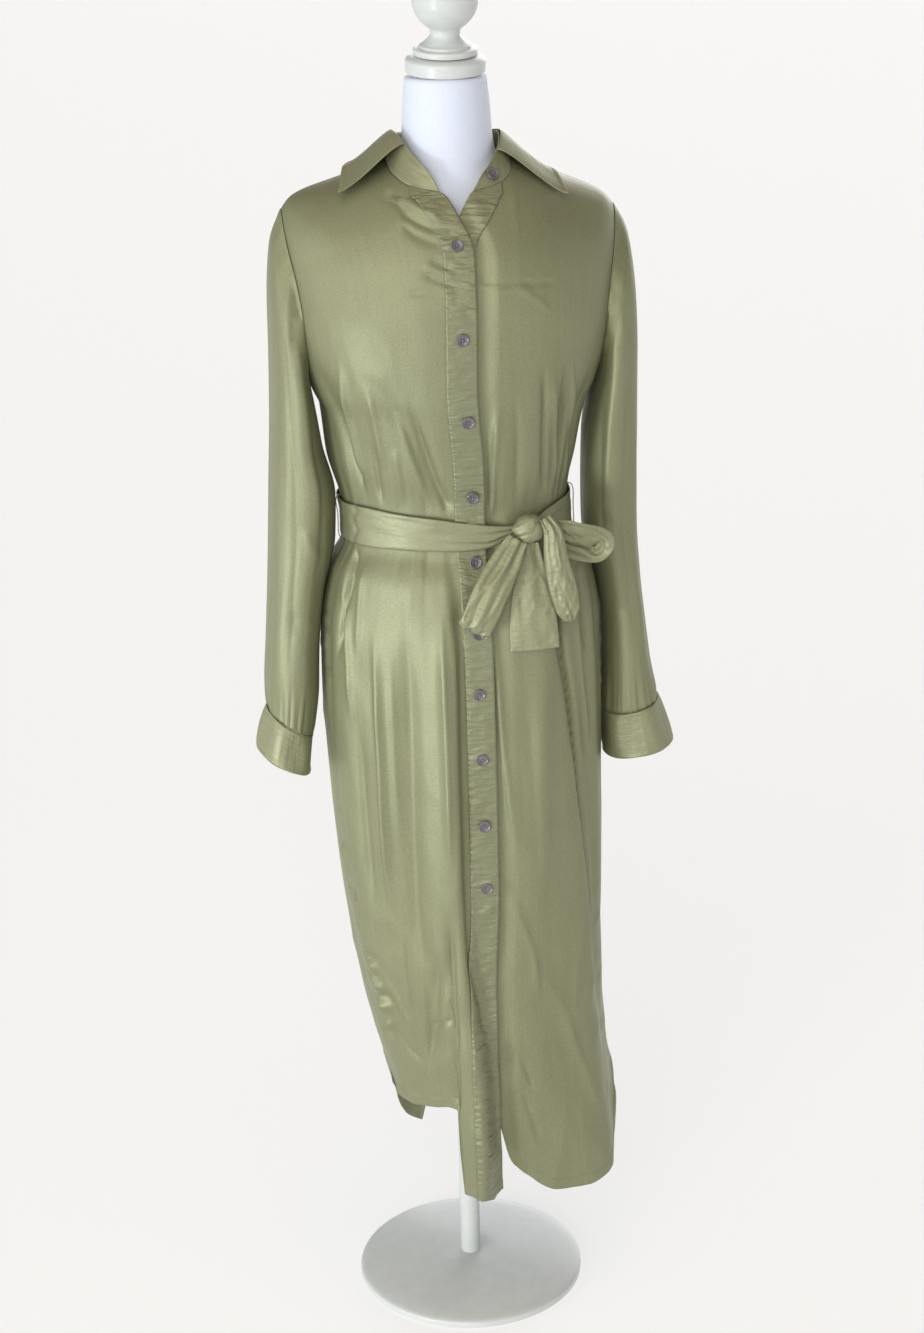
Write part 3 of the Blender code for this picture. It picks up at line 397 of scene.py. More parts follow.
def cloth_run(points: Array, wrap: bool) -> tuple[Array, Array]:
    """Metres of cloth across and along a grid, for its UV map.

    Args:
        points: shape (rows, columns, 3).
        wrap: one more column closes the ring.

    Returns:
        Two grids: the mean run across the columns, and the mean run up the rows.
    """
    closed = np.concatenate([points, points[:, :1]], axis=1) if wrap else points
    across = np.linalg.norm(np.diff(closed, axis=1), axis=2).mean(axis=0)
    along = np.linalg.norm(np.diff(points, axis=0), axis=2).mean(axis=1)
    across = np.concatenate([[0.0], np.cumsum(across)])
    along = np.concatenate([[0.0], np.cumsum(along)])
    return np.broadcast_arrays(across[None, :], along[:, None])


def finish_piece(name: str, mesh: bpy.types.Mesh, material: bpy.types.Material) -> bpy.types.Object:
    """Links a mesh as a piece that rides on the root body, shaded smooth.

    Args:
        name: the piece's name.
        mesh: its mesh, already in place.
        material: its finish.

    Returns:
        The new object.
    """
    mesh.materials.append(material)
    mesh.shade_smooth()
    piece = bpy.data.objects.new(name, mesh)
    bpy.context.scene.collection.objects.link(piece)
    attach(piece, ROOT_BODY)
    return piece


def put_for(piece: bpy.types.Object, node: str) -> None:
    """Puts a piece in the place of its solid, and logs its size."""
    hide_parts(node)
    LOG.info("%s: %d points, %d faces", piece.name, len(piece.data.vertices), len(piece.data.polygons))


def mesh_of(name: str, points: Array, faces: Array | list) -> bpy.types.Mesh:
    """A mesh from points and faces.

    Args:
        name: the mesh's name.
        points: its points, in any grid.
        faces: corner numbers of its faces.

    Returns:
        The mesh.
    """
    mesh = bpy.data.meshes.new(name)
    listed = faces if isinstance(faces, list) else faces.tolist()
    mesh.from_pydata(points.reshape(-1, 3).tolist(), [], listed)
    return mesh


def add_uv(mesh: bpy.types.Mesh, across: Array, along: Array, columns: int, wrap: bool) -> None:
    """Writes a grid's cloth run into the UV map `cloth`.

    Args:
        mesh: a mesh whose quads come from grid_faces.
        across: run across, one more column than the points where the ring closes.
        along: run along.
        columns: points in a row.
        wrap: the columns close into a ring.
    """
    rows = across.shape[0]
    row = np.arange(rows - 1)[:, None]
    col = np.arange(columns if wrap else columns - 1)[None, :]
    corners = [(row, col), (row, col + 1), (row + 1, col + 1), (row + 1, col)]
    uv = np.stack([np.stack(np.broadcast_arrays(across[r, c], along[r, c]), axis=-1)
                   for r, c in corners], axis=2)
    layer = mesh.uv_layers.new(name="cloth")
    layer.data.foreach_set("uv", uv.reshape(-1).astype(np.float32))


def cloth_piece(name: str, points: Array, material: bpy.types.Material,
                thickness: float, wrap: bool = False, offset: float = -1.0) -> bpy.types.Object:
    """A piece of cloth: a grid with its UV map and a thin Solidify wall behind it.

    Args:
        name: the piece's name.
        points: its outer face, rows going up, columns to the wearer's left.
        material: its finish.
        thickness: thickness of the cloth.
        wrap: the columns close into a ring.
        offset: -1 puts the wall behind the face, 0 half on each side.

    Returns:
        The new object.
    """
    rows, columns = points.shape[:2]
    mesh = mesh_of(name, points, grid_faces(rows, columns, wrap))
    across, along = cloth_run(points, wrap)
    add_uv(mesh, across, along, columns, wrap)
    piece = finish_piece(name, mesh, material)
    wall = piece.modifiers.new("Cloth", "SOLIDIFY")
    wall.thickness = thickness
    wall.offset = offset
    wall.use_even_offset = False
    return piece


def turned_points(profile: Array, steps: int) -> Array:
    """A profile (radius, height) swept round the vertical axis in even steps.

    Args:
        profile: radius and height, one a row.
        steps: steps round the axis.

    Returns:
        Shape (rows, steps, 3).
    """
    angle = even_turns(steps)
    radius, height = profile[:, :1], profile[:, 1:2]
    ring = (radius * np.cos(angle), radius * np.sin(angle), height)
    return np.stack(np.broadcast_arrays(*ring), axis=-1)


def closed_rings(name: str, rings: Array) -> bpy.types.Mesh:
    """A closed body through rings, whose two ends are drawn together to a pole.

    Args:
        name: the mesh's name.
        rings: shape (rows, columns, 3), running up, turning anticlockwise from above.

    Returns:
        The mesh, with a fan of triangles at each end.
    """
    count, columns = rings.shape[:2]
    ends = np.stack([rings[0].mean(axis=0), rings[-1].mean(axis=0)])
    points = np.concatenate([rings.reshape(-1, 3), ends])
    base, tip = count * columns, count * columns + 1
    col = np.arange(columns)
    after = (col + 1) % columns
    top = (count - 1) * columns
    faces = grid_faces(count, columns, wrap=True).tolist()
    faces += np.stack([after, col, np.full(columns, base)], axis=1).tolist()
    faces += np.stack([top + col, top + after, np.full(columns, tip)], axis=1).tolist()
    return mesh_of(name, points, faces)


# ------------------------------------------------------------------ finishes
def set_inputs(node: bpy.types.Node, values: dict[str, object]) -> None:
    """Sets a node's unlinked inputs by their names."""
    for name, value in values.items():
        node.inputs[name].default_value = value


class ShaderSheet:
    """Small helper that adds and links nodes in one tree."""

    def __init__(self, tree: bpy.types.NodeTree) -> None:
        """Keeps the tree that nodes are added to."""
        self.tree = tree

    def add(self, kind: str, inputs: dict[str, object] | None = None,
            **properties: object) -> bpy.types.Node:
        """Adds a node.

        Args:
            kind: the node's type name.
            inputs: values of its unlinked inputs.
            properties: its other settings.

        Returns:
            The node.
        """
        node = self.tree.nodes.new(kind)
        for key, value in properties.items():
            setattr(node, key, value)
        set_inputs(node, inputs or {})
        return node

    def link(self, source: bpy.types.NodeSocket, target: bpy.types.NodeSocket) -> None:
        """Links two sockets."""
        self.tree.links.new(source, target)

    def fill(self, socket: bpy.types.NodeSocket, value: object) -> None:
        """Gives an input its value, or links it where the value is a socket.

        Args:
            socket: the input.
            value: a number, a colour or a socket.
        """
        if isinstance(value, (int, float, tuple)):
            socket.default_value = value
        else:
            self.link(value, socket)

    def math(self, operation: str, *values: object) -> bpy.types.NodeSocket:
        """A Math node on values or sockets, giving its result.

        Args:
            operation: the node's operation.
            values: its inputs in order.

        Returns:
            The result's socket.
        """
        node = self.add("ShaderNodeMath", operation=operation)
        for socket, value in zip(node.inputs, values):
            self.fill(socket, value)
        return node.outputs[0]

    def mix(self, share: object, first: object, second: object) -> bpy.types.NodeSocket:
        """A colour mix of two colours or sockets by a share.

        Args:
            share: how much of the second.
            first: the colour at 0.
            second: the colour at 1.

        Returns:
            The colour's socket.
        """
        node = self.add("ShaderNodeMix", data_type="RGBA")
        for place, value in ((0, share), (6, first), (7, second)):
            self.fill(node.inputs[place], value)
        return node.outputs[2]

    def stretched(self, source: bpy.types.NodeSocket, scale: Triple) -> bpy.types.NodeSocket:
        """A vector multiplied by a scale for each axis."""
        mapping = self.add("ShaderNodeMapping", {"Scale": scale})
        self.link(source, mapping.inputs["Vector"])
        return mapping.outputs["Vector"]

    def noise(self, source: bpy.types.NodeSocket, scale: float, detail: float,
              distortion: float = 0.0) -> bpy.types.NodeSocket:
        """Noise on a vector, as a value from 0 to 1."""
        node = self.add("ShaderNodeTexNoise", {"Scale": scale, "Detail": detail, "Distortion": distortion})
        self.link(source, node.inputs["Vector"])
        return node.outputs["Fac"]

    def bump(self, height: bpy.types.NodeSocket, distance: float, strength: float = 1.0,
             under: bpy.types.NodeSocket | None = None) -> bpy.types.NodeSocket:
        """A relief, laid over another one.

        Args:
            height: the height value.
            distance: how high 1 stands, in metres.
            strength: how strongly it shows.
            under: normal of the relief below it.

        Returns:
            The normal.
        """
        node = self.add("ShaderNodeBump", {"Strength": strength, "Distance": distance})
        self.link(height, node.inputs["Height"])
        if under is not None:
            self.link(under, node.inputs["Normal"])
        return node.outputs["Normal"]


def satin_weave_group() -> bpy.types.NodeTree:
    """Shared effect: the satin's yarns, slubs and cloudy tone.

    Returns:
        A group that turns a cloth UV in metres into a yarn height, a streak value
        along the warp, a cloud, a grain and a pucker value, each from 0 to 1.
    """
    group = bpy.data.node_groups.new("satin_weave", "ShaderNodeTree")
    group.interface.new_socket(name="Cloth", in_out="INPUT", socket_type="NodeSocketVector")
    for name in ("Yarn", "Streak", "Cloud", "Grain", "Pucker"):
        group.interface.new_socket(name=name, in_out="OUTPUT", socket_type="NodeSocketFloat")
    sheet = ShaderSheet(group)
    cloth = group.nodes.new("NodeGroupInput").outputs["Cloth"]
    leave = group.nodes.new("NodeGroupOutput")
    twill = sheet.add("ShaderNodeMapping", {"Rotation": (0.0, 0.0, math.radians(27.0))})
    sheet.link(cloth, twill.inputs["Vector"])
    warp = sheet.add("ShaderNodeTexWave", {"Scale": 520.0, "Distortion": 0.6, "Detail Scale": 2.0},
                     wave_type="BANDS", bands_direction="X")
    sheet.link(twill.outputs["Vector"], warp.inputs["Vector"])
    weft = sheet.add("ShaderNodeTexWave", {"Scale": 700.0, "Distortion": 0.4},
                     wave_type="BANDS", bands_direction="Y")
    sheet.link(cloth, weft.inputs["Vector"])
    crossing = sheet.math("MULTIPLY", weft.outputs["Fac"], 0.35)
    effects = {
        "Yarn": sheet.math("MULTIPLY_ADD", warp.outputs["Fac"], 0.65, crossing),
        "Streak": sheet.noise(sheet.stretched(cloth, (420.0, 9.0, 1.0)), 1.0, 3.0),
        "Cloud": sheet.noise(cloth, 11.0, 2.0),
        "Grain": sheet.noise(sheet.stretched(cloth, (260.0, 560.0, 1.0)), 1.0, 2.0),
        "Pucker": sheet.noise(sheet.stretched(cloth, (48.0, 190.0, 1.0)), 1.0, 1.0),
    }
    for name, socket in effects.items():
        sheet.link(socket, leave.inputs[name])
    return group


def principled(material: bpy.types.Material) -> bpy.types.Node:
    """The Principled shader of a new node material."""
    material.use_nodes = True
    return material.node_tree.nodes["Principled BSDF"]


@dataclass(frozen=True)
class Satin:
    """Olive satin: a soft gloss on a fine warp-faced weave, with a little sheen."""

    name: str
    deep: Triple = (0.126, 0.129, 0.066)
    light: Triple = (0.288, 0.291, 0.166)
    roughness: float = 0.48
    metal: float = 0.36
    sheen: float = 0.04
    anisotropy: float = 0.35
    yarn_height: float = 0.00006
    slub_height: float = 0.00012
    grain_height: float = 0.00034
    pucker_height: float = 0.0

    def material(self, weave: bpy.types.NodeTree) -> bpy.types.Material:
        """Builds the finish.

        Args:
            weave: the shared satin_weave group.

        Returns:
            The material.
        """
        material = bpy.data.materials.new(self.name)
        shader = principled(material)
        sheet = ShaderSheet(material.node_tree)
        cloth = sheet.add("ShaderNodeUVMap", uv_map="cloth")
        group = sheet.add("ShaderNodeGroup", node_tree=weave)
        sheet.link(cloth.outputs["UV"], group.inputs["Cloth"])
        streak, grain = group.outputs["Streak"], group.outputs["Grain"]
        cloud = sheet.math("MULTIPLY", group.outputs["Cloud"], 0.20)
        tone = sheet.math("MULTIPLY_ADD", grain, 0.55, sheet.math("MULTIPLY_ADD", streak, 0.25, cloud))
        sheet.link(sheet.mix(tone, (*self.deep, 1.0), (*self.light, 1.0)), shader.inputs["Base Color"])
        gloss = sheet.math("MULTIPLY_ADD", streak, 0.05, self.roughness - 0.025)
        sheet.link(gloss, shader.inputs["Roughness"])
        relief = None
        if self.pucker_height > 0.0:
            relief = sheet.bump(group.outputs["Pucker"], self.pucker_height)
        relief = sheet.bump(streak, self.slub_height, 0.5, relief)
        relief = sheet.bump(grain, self.grain_height, 0.6, relief)
        relief = sheet.bump(group.outputs["Yarn"], self.yarn_height, 0.35, relief)
        sheet.link(relief, shader.inputs["Normal"])
        tangent = sheet.add("ShaderNodeTangent", direction_type="UV_MAP", uv_map="cloth")
        sheet.link(tangent.outputs["Tangent"], shader.inputs["Tangent"])
        set_inputs(shader, {"Specular IOR Level": 0.65, "Metallic": self.metal, "Sheen Weight": self.sheen,
                            "Sheen Roughness": 0.42, "Sheen Tint": (0.92, 0.96, 0.80, 1.0),
                            "Anisotropic": self.anisotropy})
        return material


@dataclass(frozen=True)
class SmokyHorn:
    """Dark shirt-button horn with cloudy grey and mauve bands."""

    name: str = "smoky_horn"
    dark: Triple = (0.030, 0.026, 0.032)
    pale: Triple = (0.190, 0.165, 0.190)

    def material(self) -> bpy.types.Material:
        """Builds the finish: noise bands between the two tones under a clear gloss.

        Returns:
            The material.
        """
        material = bpy.data.materials.new(self.name)
        shader = principled(material)
        sheet = ShaderSheet(material.node_tree)
        noise = sheet.noise(sheet.add("ShaderNodeTexCoord").outputs["Object"], 150.0, 4.0, 1.6)
        sheet.link(sheet.mix(noise, (*self.dark, 1.0), (*self.pale, 1.0)), shader.inputs["Base Color"])
        set_inputs(shader, {"Roughness": 0.22, "Coat Weight": 0.4, "Coat Roughness": 0.12})
        return material


@dataclass(frozen=True)
class Plain:
    """A finish of two near tones clouded by noise, with a fine relief."""

    name: str
    low: Triple
    high: Triple
    roughness: float
    grain: float
    relief: float
    stretch: Triple = (1.0, 1.0, 1.0)
    coat: float = 0.0
    sheen: float = 0.0

    def material(self) -> bpy.types.Material:
        """Builds the finish: object-space noise drives tone, gloss and relief.

        Returns:
            The material.
        """
        material = bpy.data.materials.new(self.name)
        shader = principled(material)
        sheet = ShaderSheet(material.node_tree)
        place = sheet.add("ShaderNodeTexCoord").outputs["Object"]
        noise = sheet.noise(sheet.stretched(place, self.stretch), self.grain, 5.0)
        sheet.link(sheet.mix(noise, (*self.low, 1.0), (*self.high, 1.0)), shader.inputs["Base Color"])
        gloss = sheet.math("MULTIPLY_ADD", noise, 0.16, self.roughness - 0.08)
        sheet.link(gloss, shader.inputs["Roughness"])
        sheet.link(sheet.bump(noise, self.relief, 0.5), shader.inputs["Normal"])
        set_inputs(shader, {"Coat Weight": self.coat, "Coat Roughness": 0.18, "Sheen Weight": self.sheen})
        return material


@dataclass(frozen=True)
class Finishes:
    """All finishes of the dress and its form, with a lighter copy of the satin (painted light) for the trim
    and a darker one (painted shade) for the strips.
    """

    satin: bpy.types.Material
    # a lighter copy of the same satin: painted light on the cuffs, collar, belt and bow
    trim: bpy.types.Material
    # a slightly darker, flatter copy of the same satin: painted shade on the placket and button band
    strip: bpy.types.Material
    horn: bpy.types.Material
    thread: bpy.types.Material
    jersey: bpy.types.Material
    paint: bpy.types.Material

    @classmethod
    def mixed(cls) -> Finishes:
        """Builds every finish once.

        Returns:
            The finishes.
        """
        weave = satin_weave_group()
        return cls(
            satin=Satin("olive_satin").material(weave),
            # the trim is the dress's own satin with lighter tones: painted light for the brighter cuffs,
            # collar, belt and bow
            trim=Satin("olive_satin_trim", deep=(0.162, 0.163, 0.086), light=(0.318, 0.319, 0.192),
                       pucker_height=0.0007).material(weave),
            # the strip is the same satin with slightly darker, flatter tones: painted shade on the placket
            # and button band
            strip=Satin("olive_satin_strip_painted_shade", deep=(0.138, 0.141, 0.074), light=(0.262, 0.268, 0.160),
                        pucker_height=0.0024).material(weave),
            horn=SmokyHorn().material(),
            thread=Plain("olive_thread", (0.150, 0.152, 0.075), (0.250, 0.250, 0.140), 0.55, 900.0,
                         0.0001, sheen=0.3).material(),
            jersey=Plain("white_jersey", (0.560, 0.600, 0.720), (0.640, 0.680, 0.790), 0.62, 420.0,
                         0.0002, stretch=(1.0, 1.0, 0.5), sheen=0.3).material(),
            paint=Plain("painted_wood", (0.500, 0.520, 0.515), (0.590, 0.610, 0.605), 0.42, 60.0,
                        0.0004, stretch=(1.0, 1.0, 4.0), coat=0.25).material(),
        )


# ------------------------------------------------------------------ the dress's rings
BODY = Table(("height", "half_width", "front_depth", "back_depth", "centre_x"), (
    (150, 132, 122, 104, 57), (200, 133, 124, 106, 54), (300, 136, 130, 112, 38.5),
    (400, 143, 133, 118, 22.5), (500, 151, 135, 122, 13.5), (600, 157, 136, 124, 9),
    (700, 160, 135, 124, 5.5), (800, 162, 132, 122, 3.5), (880, 160, 128, 118, 3.5),
    (940, 148, 117, 104, 4), (976, 127.5, 105, 87, 0.5), (1000, 126.2, 104, 85, 0),
    (1024, 126.8, 105, 86, 0), (1070, 135.5, 116, 91, 0), (1100, 140.5, 122, 94, 0),
    (1130, 147.5, 127, 97, 0), (1155, 158, 130, 99, 0), (1200, 170, 132, 100, 0), (1240, 176, 130, 99, 0),
    (1300, 181, 116, 94, 0), (1340, 184, 98, 84, 0), (1368, 185.5, 77, 75, 0), (1388, 186.5, 52, 59, 0),
    (1399, 187, 26, 30, 0), (1403.5, 187, 1.4, 1.4, 0),
))
SHOULDER = Table(("x", "drop"), (
    (-187.5, 69), (-180, 53.5), (-170, 42.5), (-155, 35), (-130, 27), (-100, 18), (-66, 7.5), (-60, 5),
    (0, 0), (60, 5), (66, 7.5), (100, 20), (130, 32), (155, 42.5), (170, 51), (180, 62), (187.5, 75.5),
))
ARMHOLE = Table(("height", "front_turn", "back_turn"), (
    (1155, 90, 90), (1175, 79, 99), (1210, 70.5, 106), (1260, 67.5, 109), (1310, 69, 108.5),
    (1350, 72, 107), (1385, 74.5, 105.5), (1403.5, 75, 105),
))
WAIST_LINE = Table(("turn", "rise"), (
    (-180, 5), (-135, 6), (-90, 4), (-45, 7), (-15, 6), (10, 0), (35, 3), (60, 4), (90, 2), (135, 4),
    (180, 5),
))
FRONT_EDGE = Table(("height", "lap_x", "band_x"), (
    (150, 25.5, -9), (300, 22.5, -12), (450, 20.7, -12), (600, 25, -8), (800, 24.5, -8.5),
    (970, 21.6, -11.4), (1078, 18, -15), (1170, 11.2, -21.8), (1302, 13.1, -19.9), (1319, 11.7, -16),
    (1332, 7, -9), (1345, 0.1, 0), (1357, -5.9, 8), (1368.5, -15, 16), (1374, -36, 36), (1381, -52, 52),
    (1390, -62, 62), (1397, -66, 66), (1403.5, -67, 67),
))
RIGHT_HEM = Table(("turn", "height"), (
    (-90, 312), (-80, 300), (-60, 288), (-50, 289), (-38.5, 296), (-31.2, 302), (-30.4, 186), (-26, 192),
    (-20, 193), (-14, 182), (-8, 187),
))
LEFT_HEM = Table(("turn", "height"), (
    (-24, 310), (-13, 300), (-9, 265), (-5.5, 226), (0, 203), (9, 180), (17, 172), (32, 169), (46, 175),
    (57, 194), (67, 224), (80, 278), (90, 312),
))
BACK_HEM = Table(("turn", "height"), (
    (90, 312), (104, 262), (125, 224), (180, 212), (205, 214), (217, 208), (226, 186), (232, 177),
    (241, 186), (252, 206), (262, 252), (270, 312),
))
FRONT_ROLL = Table(("height", "x", "out", "toward_placket", "away"), (
    (150, -3, 47, 17, 19), (250, -4, 42, 16, 22), (330, -7, 33, 16, 28), (400, -13, 26, 15, 34),
    (480, -20, 19, 14, 42), (600, -26, 14, 12, 50), (800, -28, 10, 11, 55), (930, -28, 5, 11, 50),
    (970, -28, 0, 11, 50), (1100, -28, 0, 11, 50),
))
LONG_FOLDS = Table(("top", "top_turn", "low", "low_turn", "out", "spread", "open_end"), (
    (965, -56, 150, -62, 6, 11, 1), (970, -74, 600, -76, -5, 4, 0), (960, 27, 520, 19, 6, 6, 0),
    (965, 47, 330, 66, -8, 6, 0), (965, 58, 150, 47, 6, 12, 1), (962, 66, 640, 73, -6, 4.5, 0),
    (962, 112, 150, 118, 8, 10, 1), (962, 138, 150, 142, -7, 9, 1), (962, 163, 150, 165, 9, 10, 1),
    (962, 190, 150, 188, -7, 9, 1), (962, 214, 150, 212, 9, 10, 1), (962, 241, 150, 236, -7, 9, 1),
    (1135, -92, 1005, -92, 7, 20, 0), (1190, -34, 1020, -9, -5, 5, 0), (1200, -62, 1035, -58, -5, 5, 0),
    (1200, 42, 1030, 46, -5, 5, 0), (1180, 58, 1030, 60, -4.5, 4.5, 0), (1200, 140, 1030, 146, -5, 6, 0),
    (1210, 180, 1030, 180, -5, 7, 0), (1200, 222, 1030, 214, -5, 6, 0),
))


@dataclass(frozen=True)
class BodyRings:
    """The family of rings that all of the dress's cloth lies on."""

    power: float = 2.3
    shoulder_top: float = 1.4035
    armpit: float = 1.155
    shoulder_blend: float = 1.12
    waist: float = 1.0
    lap_depth: float = 0.0042
    lap_margin: float = 0.008
    lap_ease: float = 0.017
    lift_top: float = 0.44
    lift_run: float = 0.20
    lift_reach: float = 0.012
    roll_power: float = 2.4
    waist_reach: float = 0.11
    least_depth: float = 0.02

    def turn_at(self, x: Array | float, height: Array | float) -> Array:
        """Turn in degrees of the front point that stands at x on a ring.

        Args:
            x: place across.
            height: ring height.

        Returns:
            The turn, from the ring's power law solved for the sine.
        """
        side = np.clip((x - BODY.read("centre_x", height)) / BODY.read("half_width", height), -1.0, 1.0)
        return np.degrees(np.arcsin(np.sign(side) * np.abs(side) ** (self.power / 2.0)))

    def fold_push(self, turn: Array, height: Array) -> Array:
        """Outward push of the long folds: a bell across each, swelling along it.

        Args:
            turn: turns in degrees.
            height: ring heights.

        Returns:
            The push in metres.
        """
        push = np.zeros(np.broadcast(turn, height).shape)
        folds = (LONG_FOLDS.column(name) for name in LONG_FOLDS.columns)
        for top, top_turn, low, low_turn, out, spread, open_end in zip(*folds):
            share = np.clip((top - height) / (top - low), 0.0, 1.0)
            middle = top_turn + (low_turn - top_turn) * share
            swell = np.sin(share * math.pi * (0.5 if open_end else 1.0))
            push = push + out * swell * bell(wrapped_turn(turn - middle), spread)
        return push

    def roll_push(self, x: Array, height: Array) -> Array:
        """Forward push of the roll beside the placket, which fades at the lapping edge.

        Args:
            x: place across.
            height: ring height.

        Returns:
            out * exp(-|away / spread|^2.4), times a smooth step at the edge.
        """
        away = x - FRONT_ROLL.read("x", height)
        spread = np.where(away > 0, FRONT_ROLL.read("toward_placket", height),
                          FRONT_ROLL.read("away", height))
        lifted = self.lift_reach * soft_step((self.lift_top - height) / self.lift_run)
        inside = soft_step((FRONT_EDGE.read("lap_x", height) + lifted - x) / self.lift_reach)
        return FRONT_ROLL.read("out", height) * bell(away, spread, self.roll_power) * inside

    def point(self, turn: Array | float, height: Array | float,
              roll: bool = False, sunk: bool = False) -> Array:
        """Outer face of the dress at a turn and a ring height.

        A ring is a superellipse with its own front and back depth. Towards the
        shoulders it slopes down with the shoulder seam, at the waist it follows the
        belt line, and the long folds push it out along its own normal.

        Args:
            turn: turn round the body in degrees.
            height: ring height.
            roll: adds the right front's roll.
            sunk: sinks the left front where the right one laps over it.

        Returns:
            Points, with a last axis of x, y, z.
        """
        turn, height = np.broadcast_arrays(np.asarray(turn, float), np.asarray(height, float))
        sine, cosine = np.sin(np.radians(turn)), np.cos(np.radians(turn))
        power = 2.0 / self.power
        half_width = BODY.read("half_width", height)
        depth = np.where(cosine >= 0, BODY.read("front_depth", height), BODY.read("back_depth", height))
        x = half_width * np.sign(sine) * np.abs(sine) ** power + BODY.read("centre_x", height)
        y = -depth * np.sign(cosine) * np.abs(cosine) ** power
        slope = soft_step((height - self.shoulder_blend) / (self.shoulder_top - self.shoulder_blend))
        tilt = WAIST_LINE.read("rise", wrapped_turn(turn)) * bell(height - self.waist, self.waist_reach)
        z = height - slope * SHOULDER.read("drop", x) + tilt
        across = sine / half_width
        forward = -cosine / np.maximum(depth, self.least_depth)
        size = np.hypot(across, forward)
        push = self.fold_push(turn, height)
        if sunk:
            past_edge = (x - FRONT_EDGE.read("lap_x", height) - self.lap_margin) / self.lap_ease
            push = push - self.lap_depth * (1.0 - soft_step(past_edge))
        x = x + push * across / size
        y = y + push * forward / size
        if roll:
            y = y - self.roll_push(x, height)
        return np.stack([x, y, z], axis=-1)


RINGS = BodyRings()


# ------------------------------------------------------------------ fronts and back
# a crease is its path, its push, its width to the right and to the left, and its two fades
# a pucker is its path, its push, its reach, its pitch, its seed and its two fades
RIGHT_BY_X = marks_of(Crease, BY_X, (
    (((-66, 1165), (-58.3, 1135), (-40.5, 1073.5), (-19, 1020)), -5.6, 2.5, 7.2, 0.35, 0.1),
    (((-78, 1150), (-69, 1120), (-53, 1068), (-33, 1022)), 3.5, 5.8, 4.3),
    (((-47, 1296), (-24.8, 1285.5), (-6.3, 1276.8)), -2.6, 2.9, 2.9),
    (((-45, 1303), (-22, 1294), (-6, 1285)), 1.9, 2.9, 2.9),
    (((-62, 1276), (-41, 1273.9), (-17, 1273.2)), -1.9, 2.5, 2.5),
    (((-36, 1306), (-20.8, 1299.3), (-11.9, 1291.1)), -2.1, 2.9, 2.9),
    (((-66.7, 1364.6), (-46.5, 1346.5), (-15.5, 1330.4)), -3.5, 4.3, 4.3),
    (((-60, 1372), (-40, 1356.5), (-14, 1341)), 2.6, 4.3, 4.3),
    (((-70.3, 1383.3), (-67, 1371), (-53.1, 1354.2)), -3.2, 4.3, 4.3),
    (((-64.1, 1348.7), (-44.7, 1331.2), (-16.4, 1318.9)), -2.6, 4.3, 4.3),
    (((-132.8, 1205.5), (-126.6, 1154.4), (-117.4, 1104.3), (-109, 1040.7)), 5.6, 5.8, 3.6),
    (((-127.1, 1128), (-119.3, 1086.6), (-107.1, 1037.6)), -6.4, 3.6, 3.6),
    (((-108, 1182.9), (-99.5, 1146.6), (-85.7, 1067.1)), 3.5, 5, 5),
    (((-99.7, 1109.2), (-93.9, 1057.9), (-87.9, 1024.4)), -4, 3.6, 3.6),
    (((-77, 1105), (-73, 1070), (-67, 1030)), 2.4, 3.6, 3.6),
    (((-115.7, 972.7), (-125.7, 940.4), (-135.3, 903.2), (-144.6, 850)), -8, 2.9, 5, 0.1),
    (((-124.9, 957.2), (-133.2, 917.4), (-132.4, 853.8), (-132.4, 773.3)), 4.8, 4.3, 4.3),
    (((-108.4, 966.5), (-117.8, 922.1), (-125.2, 856)), 3.2, 3.6, 3.6),
    (((-106.5, 903.1), (-105.1, 836.9), (-103.7, 750.5), (-99.4, 590.1), (-88.7, 539.5)), 9, 3.4, 7),
    (((-33.1, 929.6), (-33.1, 887.5), (-31.7, 758.5), (-31.4, 595.4)), 9.4, 6.2, 4.6),
    (((-70, 950), (-72, 821), (-73.5, 597.6), (-58.1, 412.1)), -9.5, 15, 17),
    (((-90.5, 880), (-89.5, 760), (-86, 620)), 2.8, 4, 5),
    (((-125.5, 800), (-121.5, 680), (-113, 540)), -5, 7, 8),
    (((-32.8, 583.1), (-32.7, 539.4), (-31.1, 456.4), (-29.1, 316.1)), -8, 9, 4, 0.3, 0),
    (((-50, 520), (-54, 440), (-56, 350)), -8, 10, 14),
    (((-84, 530), (-76, 450), (-64, 390)), -3.4, 4, 5),
    (((-12.5, 930), (-12, 870), (-12.5, 700), (-12.5, 560), (-10, 490), (0, 442), (5.5, 377)),
     -4.5, 4.3, 3.2, 0.15, 0.15),
    (((-22.5, 930), (-22, 870), (-23, 700), (-23, 560)), 4.2, 5.8, 4.3, 0.2, 0.3),
    (((-59.2, 404.3), (-46.5, 419), (-30.4, 431.6)), -3.2, 2.9, 2.9),
    (((-61, 470), (-58.5, 395), (-56, 330)), -2.4, 2.9, 3.6),
    (((-105, 470), (-88, 425), (-70, 388)), 2.9, 4.3, 4.3),
    (((-96, 405), (-80, 372), (-62, 352)), -2.2, 3.6, 3.6),
))
RIGHT_BY_TURN = marks_of(Pucker, BY_TURN, (
    (((-80, 905), (-79, 850), (-77, 790)), 2, 10, 10, 3),
    (((-76.5, 700), (-72, 600), (-64, 527.8), (-58.5, 480.5), (-56.5, 414.7), (-60, 343)), 6, 12, 13, 4),
    (((-70, 600), (-66, 500), (-64, 400)), 1.8, 18, 18, 5),
))
